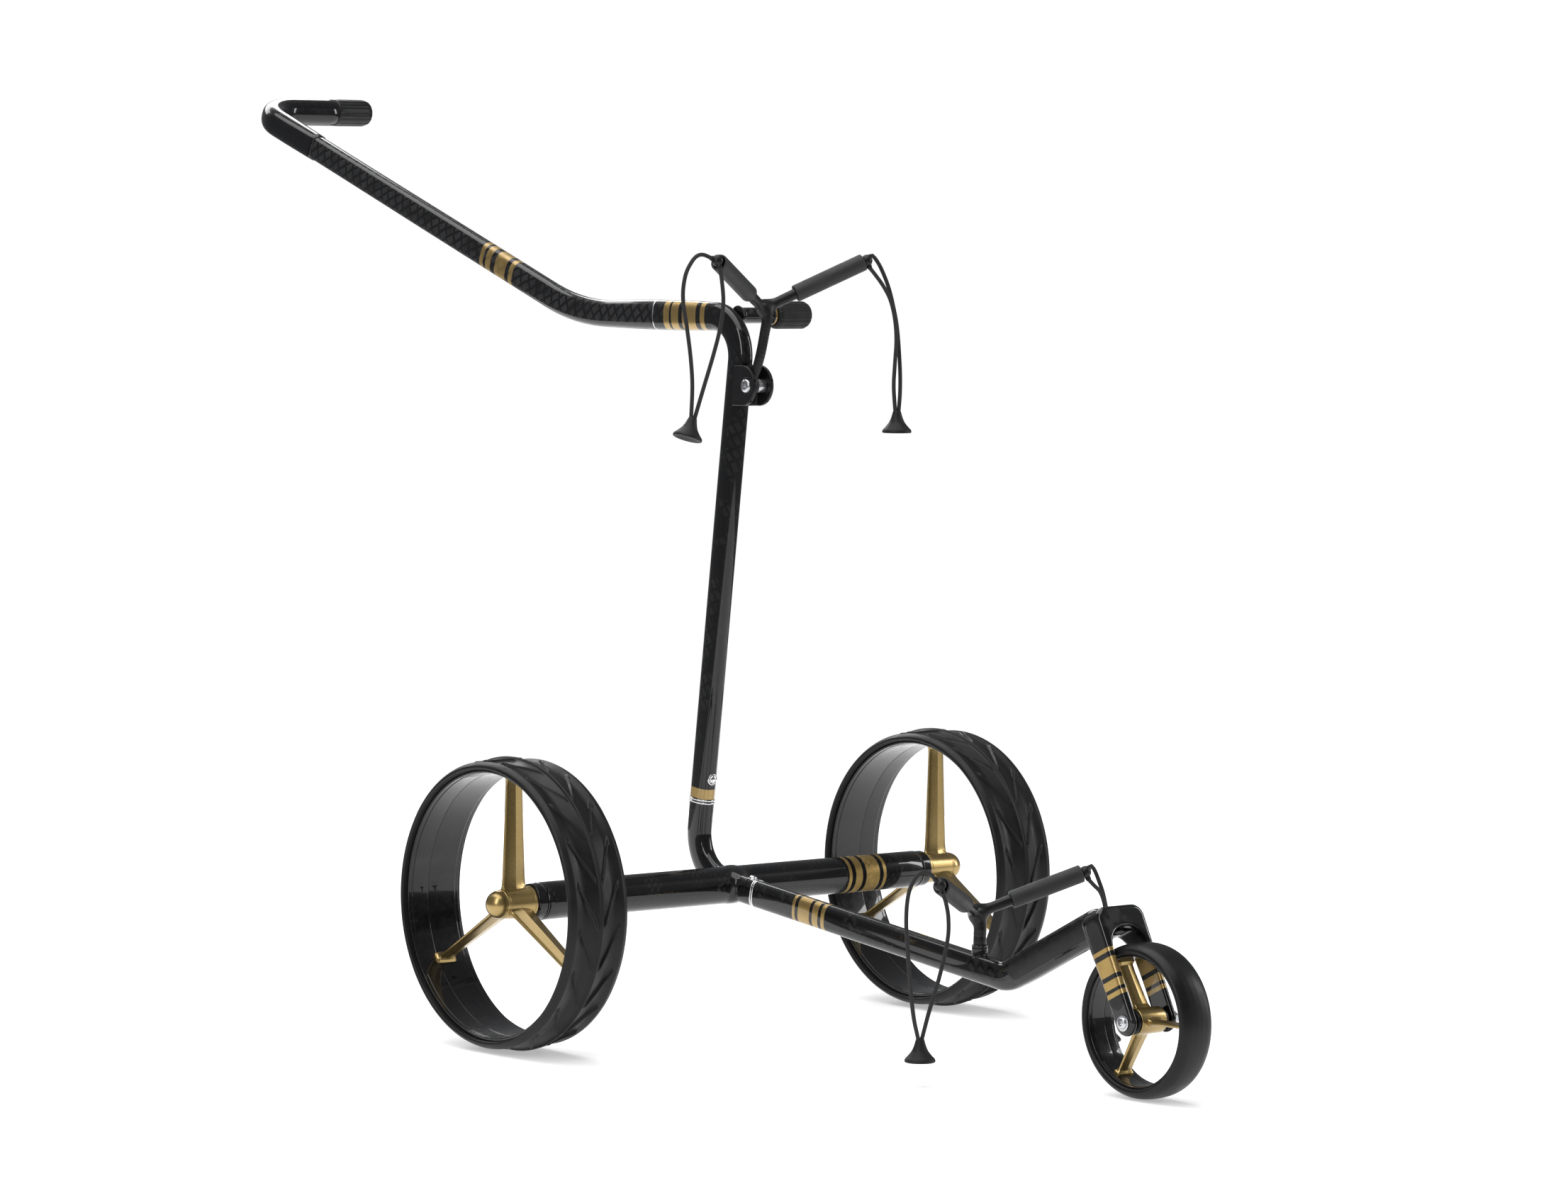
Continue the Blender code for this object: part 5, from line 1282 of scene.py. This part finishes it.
def make_upper_bracket():
    """The upper bag rest, whose stem curves up from the hinge to the fork of its arms."""
    steps = ((-0.0054, -0.0005, 0.003), (-0.0041, -0.0045, 0.015), (-0.0025, -0.0095, 0.032),
             (-0.001, -0.0135, 0.052), (0.0, -0.0165, 0.07))
    stem = [PIN + step for step in steps] + [UPPER_FORK]
    radii = [0.0034, 0.0044, 0.0046, 0.0047, 0.005, 0.0052]
    eyelets = cord_starts(UPPER_TIP, UPPER_LEFT, UPPER_RIGHT)
    make_yoke("upper_yoke", UPPER_FORK, UPPER_TIP, stem, radii, "upper_bracket", eyelets, PIN)
    make_sleeves("upper", UPPER_FORK, UPPER_TIP, "upper_bracket")


def make_lower_bracket():
    """The lower bag rest on a finned socket that clasps the front tube."""
    base = 0.122
    stem = [LOWER_FOOT + Z * height for height in (base + 0.006, 0.13, 0.14)] + [LOWER_FORK]
    eyelets = cord_starts(LOWER_TIP, LOWER_LEFT, LOWER_RIGHT)
    make_yoke("lower_yoke", LOWER_FORK, LOWER_TIP, stem, [0.006, 0.006, 0.006, 0.0066], "front_frame",
              eyelets)
    foot = [(base - 0.0065, 0.0003), (base - 0.0065, 0.0036), (base, 0.0036), (base, 0.0064),
            (base + 0.008, 0.0062), (base + 0.008, 0.0003)]
    lathe("lower_yoke_foot", foot, 0.0004, LOWER_FOOT, Z, PLASTIC, "front_frame", 5, 48, False)
    make_sleeves("lower", LOWER_FORK, LOWER_TIP, "front_frame")
    level = LOWER_FOOT + Z * (AXLE[2] + (LOWER_FOOT - AXLE)[1] * FRONT_AHEAD[2] / FRONT_AHEAD[1])

    def field(p):
        collar = smooth_max(rod(p, LOWER_FOOT, Z, 0.0078), p[:, 2] - (base - 0.0003), 0.0012)
        collar = np.maximum(collar, 0.1 - p[:, 2])
        groove = np.maximum(np.abs(p[:, 2] - (base - 0.0026)) - 0.00035, -rod(p, LOWER_FOOT, Z, 0.0074))
        collar = smooth_max(collar, -groove, 0.0003)
        tail = cone(p, LOWER_FOOT + Z * 0.1095, LOWER_FOOT + Z * 0.103 - Y * 0.03, 0.006, 0.0022)
        whole = smooth_min(collar, tail, 0.004)
        tube = oval_tube(p, level - FRONT_AHEAD * 0.06, level + FRONT_AHEAD * 0.06, TUBE + 0.0004)
        hole = np.maximum(rod(p, LOWER_FOOT, Z, 0.004), base - 0.007 - p[:, 2])
        return np.maximum(np.maximum(whole, -tube), -hole)

    low, high = LOWER_FOOT + (-0.01, -0.036, 0.09), LOWER_FOOT + (0.01, 0.01, 0.124)
    add("lower_yoke_socket", surface(field, low, high, 0.0007), GLOSS, "front_frame", sharp=35.0,
        slot="satin_black_plastic")


# ---------------------------------------------------------------- front frame
def fork_point(across, up, ahead=0.0):
    """A point given from the front axle along the raked legs."""
    return FRONT_AXLE + X * across + LEG_UP * up + LEG_AHEAD * ahead


def make_front_frame():
    """The tube that runs forward and rises over the front wheel, with its fork."""
    behind = fork_point(0.0, BEAM_LEVEL - 0.004, -FORK_WIDTH / 2.0 - 0.01)
    end = fork_point(0.0, FORK_HEIGHT - 0.014, 0.0)
    corner = front_tube_point(BEAM_CORNER)
    points, directions = bent([front_tube_point(FRONT_JOINT + JOINT_GAP), corner, behind, end],
                              [0.034, 0.01])
    run = distances(points)
    bend = run[np.argmin(np.linalg.norm(points - corner, axis=1))]
    sizes = TUBE + (BEAM - TUBE) * eased(run, bend - 0.02, bend + 0.045)[:, None]
    sizes -= np.array((0.0005, 0.008)) * eased(run, run[-1] - 0.026, run[-1])[:, None]
    spigot_end = FRONT_JOINT - 0.026
    reaches = (FRONT_JOINT + JOINT_GAP, 0.03, spigot_end + 0.001, spigot_end)
    rows = loops_along(points, directions, sizes)[::-1]
    rows += front_tube_loops(reaches, [SPIGOT] * 3 + [SPIGOT - 0.0012])
    rows += front_tube_loops((spigot_end, 0.2), SPIGOT - 2.0 * WALL)
    ahead = ((0.1094, 0.1136), (0.1183, 0.136), (0.1404, 0.1492), (0.1538, 0.1592))
    paint = carbon("beam_carbon", 0.014, 0.0105, 0.014, [(AXLE, FRONT_AHEAD, ahead)])
    add("front_beam", skin(rows), paint, "front_frame")
    make_ring("front_tube_ring", front_tube_point(FRONT_JOINT), FRONT_AHEAD, 0.0005, 0.0023, "front_frame")
    for side, sign in SIDES:
        make_beam_panel(side, sign, points, directions, sizes, run, bend)
    make_fork()


def make_beam_panel(side, sign, points, directions, sizes, run, bend):
    """A long satin panel let into the side of the rising beam, round at its lower end."""
    first, last, half_width = bend + 0.012, run[-1] - 0.028, 0.0098
    rows = []
    places = np.concatenate((first + half_width * (1.0 - np.cos(np.linspace(0.05, 1.57, 14))),
                             np.linspace(first + half_width, last, 24)[1:]))
    for place in places:
        point, direction, size = [np.array([np.interp(place, run, column) for column in array.T])
                                  for array in (points, directions, sizes)]
        up = -np.cross(X, unit(direction))
        reach = half_width * math.sqrt(max(0.0, 1.0 - max(0.0, 1.0 - (place - first) / half_width) ** 2))
        climb = np.linspace(-1.0, 1.0, 17) * reach
        bulge = (1.0 - np.abs(2.0 * climb / size[1]) ** OVAL) ** (1.0 / OVAL) * size[0] / 2.0
        proud = 0.00022 * (1.0 - np.abs(np.linspace(-1.0, 1.0, 17)) ** 12) - 0.00008
        rows.append(point + X * (sign * (bulge + proud))[:, None] + up * climb[:, None])
    add(f"beam_{side}_panel", skin(rows, closed=False), PANEL, "front_frame")


def make_fork():
    """An arched fork with rounded legs, blended into the end of the beam."""
    half = FORK_WIDTH / 2.0
    beam_end = fork_point(0.0, FORK_HEIGHT - 0.0122, -half)

    def field(p):
        q = p - FRONT_AXLE
        x, w, a = np.abs(q[:, 0]), q @ LEG_UP, q @ LEG_AHEAD
        corner = 0.0125
        over_x = np.maximum(x - (LEG_OUTSIDE - corner), 0.0)
        over_w = np.maximum(w - (FORK_HEIGHT - corner), 0.0)
        outside = np.maximum(np.hypot(over_x, over_w) - corner,
                             np.maximum(x - LEG_OUTSIDE, w - FORK_HEIGHT))
        arch_centre = ARCH_TOP - LEG_INSIDE
        arch = np.where(w > arch_centre, np.hypot(x, w - arch_centre), x) - LEG_INSIDE
        behind = half + 0.0032 * eased(w, 0.03, 0.095)
        side = np.where(w > 0.0, np.maximum(a - half, -a - behind), np.hypot(w, a) - half)
        front = smooth_max(smooth_max(outside, side, 0.0055), -arch, 0.003)
        saddle = oval_tube(p, beam_end - LEG_AHEAD * 0.004, beam_end + LEG_AHEAD * 0.016 - LEG_UP * 0.006,
                           BEAM * (1.0, 0.88), BEAM * (0.9, 0.55))
        whole = smooth_min(front, saddle, 0.0055)
        bolt = rod(p, FRONT_AXLE, X, 0.0043)
        return smooth_max(np.maximum(whole, -bolt), -(half + 0.0044 + a), 0.001)

    corners = np.array([fork_point(x, w, a) for x in (-0.031, 0.031) for w in (-0.015, 0.114)
                        for a in (-0.019, 0.015)])
    paint = carbon("fork_carbon", 0.014, 0.0105, 0.02, [FORK_BANDS])
    low, high = corners.min(axis=0) - 0.001, corners.max(axis=0) + 0.001
    add("front_fork", surface(field, low, high, 0.001), paint, "front_frame", sharp=45.0)
    inlay = panel("fork_panel", 0.36, [FORK_BANDS])
    for side, sign in SIDES:
        make_fork_panel(side, sign, inlay)
    make_front_axle()


def make_fork_panel(side, sign, paint):
    """The matt inlay down the outside of a fork leg, rounded at both ends."""
    low, high, half = 0.013, 0.103, 0.0096
    outline = []
    for centre, begin in ((high - half, 0.0), (low + half, 180.0)):
        for degrees in np.linspace(begin, begin + 180.0, 20):
            angle = math.radians(degrees)
            outline.append((centre + half * math.sin(angle), half * math.cos(angle)))
    rows = []
    for grow, proud in ((0.0, -0.0008), (0.0, 0.0001), (-0.0004, 0.00022), (-0.003, 0.00022)):
        across, level, narrowed = sign * (LEG_OUTSIDE + proud), -grow / 0.041, 1.0 + grow / half
        rows.append([fork_point(across, w + (0.055 - w) * level, a * narrowed) for w, a in outline])
    add(f"fork_{side}_panel", skin(rows), paint, "front_frame")


def make_front_axle():
    """A domed bolt through the fork with a washer, a nut and a spacer on each side of the wheel."""
    outer = LEG_OUTSIDE + 0.0003
    head = dome(-outer - 0.001, -0.0027, 0.0025, 0.0032, 0.0, 1.5)
    bolt = [(outer + 0.0078, 0.0003), (outer + 0.008, 0.0034), (outer + 0.0074, 0.004), (-outer, 0.004),
            (-outer, 0.0074), (-outer - 0.0003, 0.0077), (-outer - 0.0008, 0.0077),
            (-outer - 0.001, 0.0074)] + head
    bolt += [(-outer - 0.0016, 0.0024), (-outer - 0.0014, 0.0003)]
    add("front_axle_bolt", turned(bolt, FRONT_AXLE, X, 60), STEEL, "front_frame", sharp=35.0)
    section = [(outer, 0.0043), (outer, 0.0077), (outer + 0.001, 0.0077), (outer + 0.001, 0.0043)]
    washer = turned(rounded(section, 0.0003, 3, True), FRONT_AXLE, X, 48, ring=True)
    nut = hex_nut(FRONT_AXLE, outer + 0.0011, outer + 0.0068, 0.0066, 0.0042)
    add("front_axle_nut", joined(washer, nut), STEEL, "front_frame", sharp=30.0)
    for side, sign in SIDES:
        spacer = [(0.014, 0.0043), (0.014, 0.0112), (0.0186, 0.0112), (0.0192, 0.01), (0.0196, 0.0085),
                  (LEG_INSIDE - 0.0003, 0.0085), (LEG_INSIDE - 0.0003, 0.0043)]
        lathe(f"front_wheel_{side}_spacer", spacer, 0.0004, FRONT_AXLE, X * sign, ANODISED, "front_frame",
              4, 60)


def make_front_wheel():
    """A smooth tyre on a drum that three short spokes hold to a hub."""
    outline = ((0.0, 0.07345), (0.003, 0.07342), (0.006, 0.0732), (0.011, 0.0726), (0.0155, 0.0711),
               (0.0185, 0.0688), (0.0195, 0.0663), (0.019, 0.0645), (0.018, 0.0634), (0.0162, 0.0626))
    flank = through(outline, 0.0006)
    inner = np.stack((np.linspace(flank[-1, 0], 0.0, 6)[1:], np.full(5, 0.0626)), 1)
    half_loop = np.concatenate((flank, inner))
    loop = np.concatenate((half_loop, half_loop[::-1][1:-1] * (-1.0, 1.0)))
    add("front_wheel_tyre", turned(loop, FRONT_AXLE, X, 180, ring=True), FRONT_TYRE, "front_wheel",
        sharp=70.0)
    make_drum("front_wheel_drum", FRONT_AXLE, X, 0.016, FRONT_DRUM, 0.0624, "front_wheel", 0.0026)
    hub = rounded([(-0.0137, 0.0043), (-0.0137, 0.0115), (-0.0155, 0.0115), (-0.0155, 0.012),
                   (-0.015, 0.0125), (0.015, 0.0125), (0.0155, 0.012), (0.0155, 0.0115), (0.0137, 0.0115),
                   (0.0137, 0.0043)], 0.0002, 3, True)
    casting = turned(hub, FRONT_AXLE, X, 72, ring=True)
    make_spider("front_wheel_spider", casting, FRONT_AXLE, FRONT_SPOKE, 22, 60.0, "front_wheel")


# ---------------------------------------------------------------- everything
FORK_BANDS = (FRONT_AXLE, LEG_UP, ((0.068, 0.072), (0.0465, 0.063), (0.034, 0.042), (0.026, 0.0305)))
BRAID = braid()
RUBBER = rubber("moulded_rubber", (0.006, 0.006, 0.0065), (0.014, 0.014, 0.015))
SLEEVE = rubber("sleeve_rubber", (0.022, 0.022, 0.023), (0.042, 0.042, 0.043))
TYRE = tyre_rubber("tread_rubber", 0.34, 0.48)
FRONT_TYRE = tyre_rubber("smooth_rubber", 0.34, 0.44)
GLOSS = gloss("gloss_black")
GLOSS_GRIP = gloss("grip_lacquer")
ANODISED = finish("black_anodised", (0.022, 0.022, 0.024), 0.34,
                  ((0.01, 0.01, 0.011), (0.022, 0.022, 0.024)), (90.0, 3.0), ((3800.0,), 0.28, 0.42),
                  ((3800.0,), 0.00003, 0.5), metallic=0.55)
PLASTIC = finish("satin_plastic", (0.012, 0.012, 0.013), 0.36,
                 ((0.005, 0.005, 0.0055), (0.011, 0.011, 0.012)), (70.0, 3.0), ((45.0,), 0.28, 0.42),
                 ((2300.0, 3.0), 0.00005, 0.5), specular=0.28)
GOLD = finish("gold_metal", (0.42, 0.27, 0.085), 0.3, ((0.34, 0.235, 0.085), (0.46, 0.33, 0.13)),
              (22.0, 3.0), ((2200.0,), 0.26, 0.36), ((1800.0,), 0.000012, 0.25), metallic=0.9, coat=0.35,
              coat_roughness=0.12)
CHROME = metal("bright_chrome", (0.78, 0.78, 0.79), 0.06, 0.14)
STEEL = metal("turned_steel", (0.58, 0.58, 0.6), 0.2, 0.34)
PANEL = panel("beam_panel", 0.32)

make_camera()
make_cords()
make_studio()
make_axle_frame()
make_mast()
make_handle()
make_upper_bracket()
make_front_frame()
make_lower_bracket()
make_front_wheel()
make_rear_wheel("left", -1.0)
make_rear_wheel("right", 1.0)
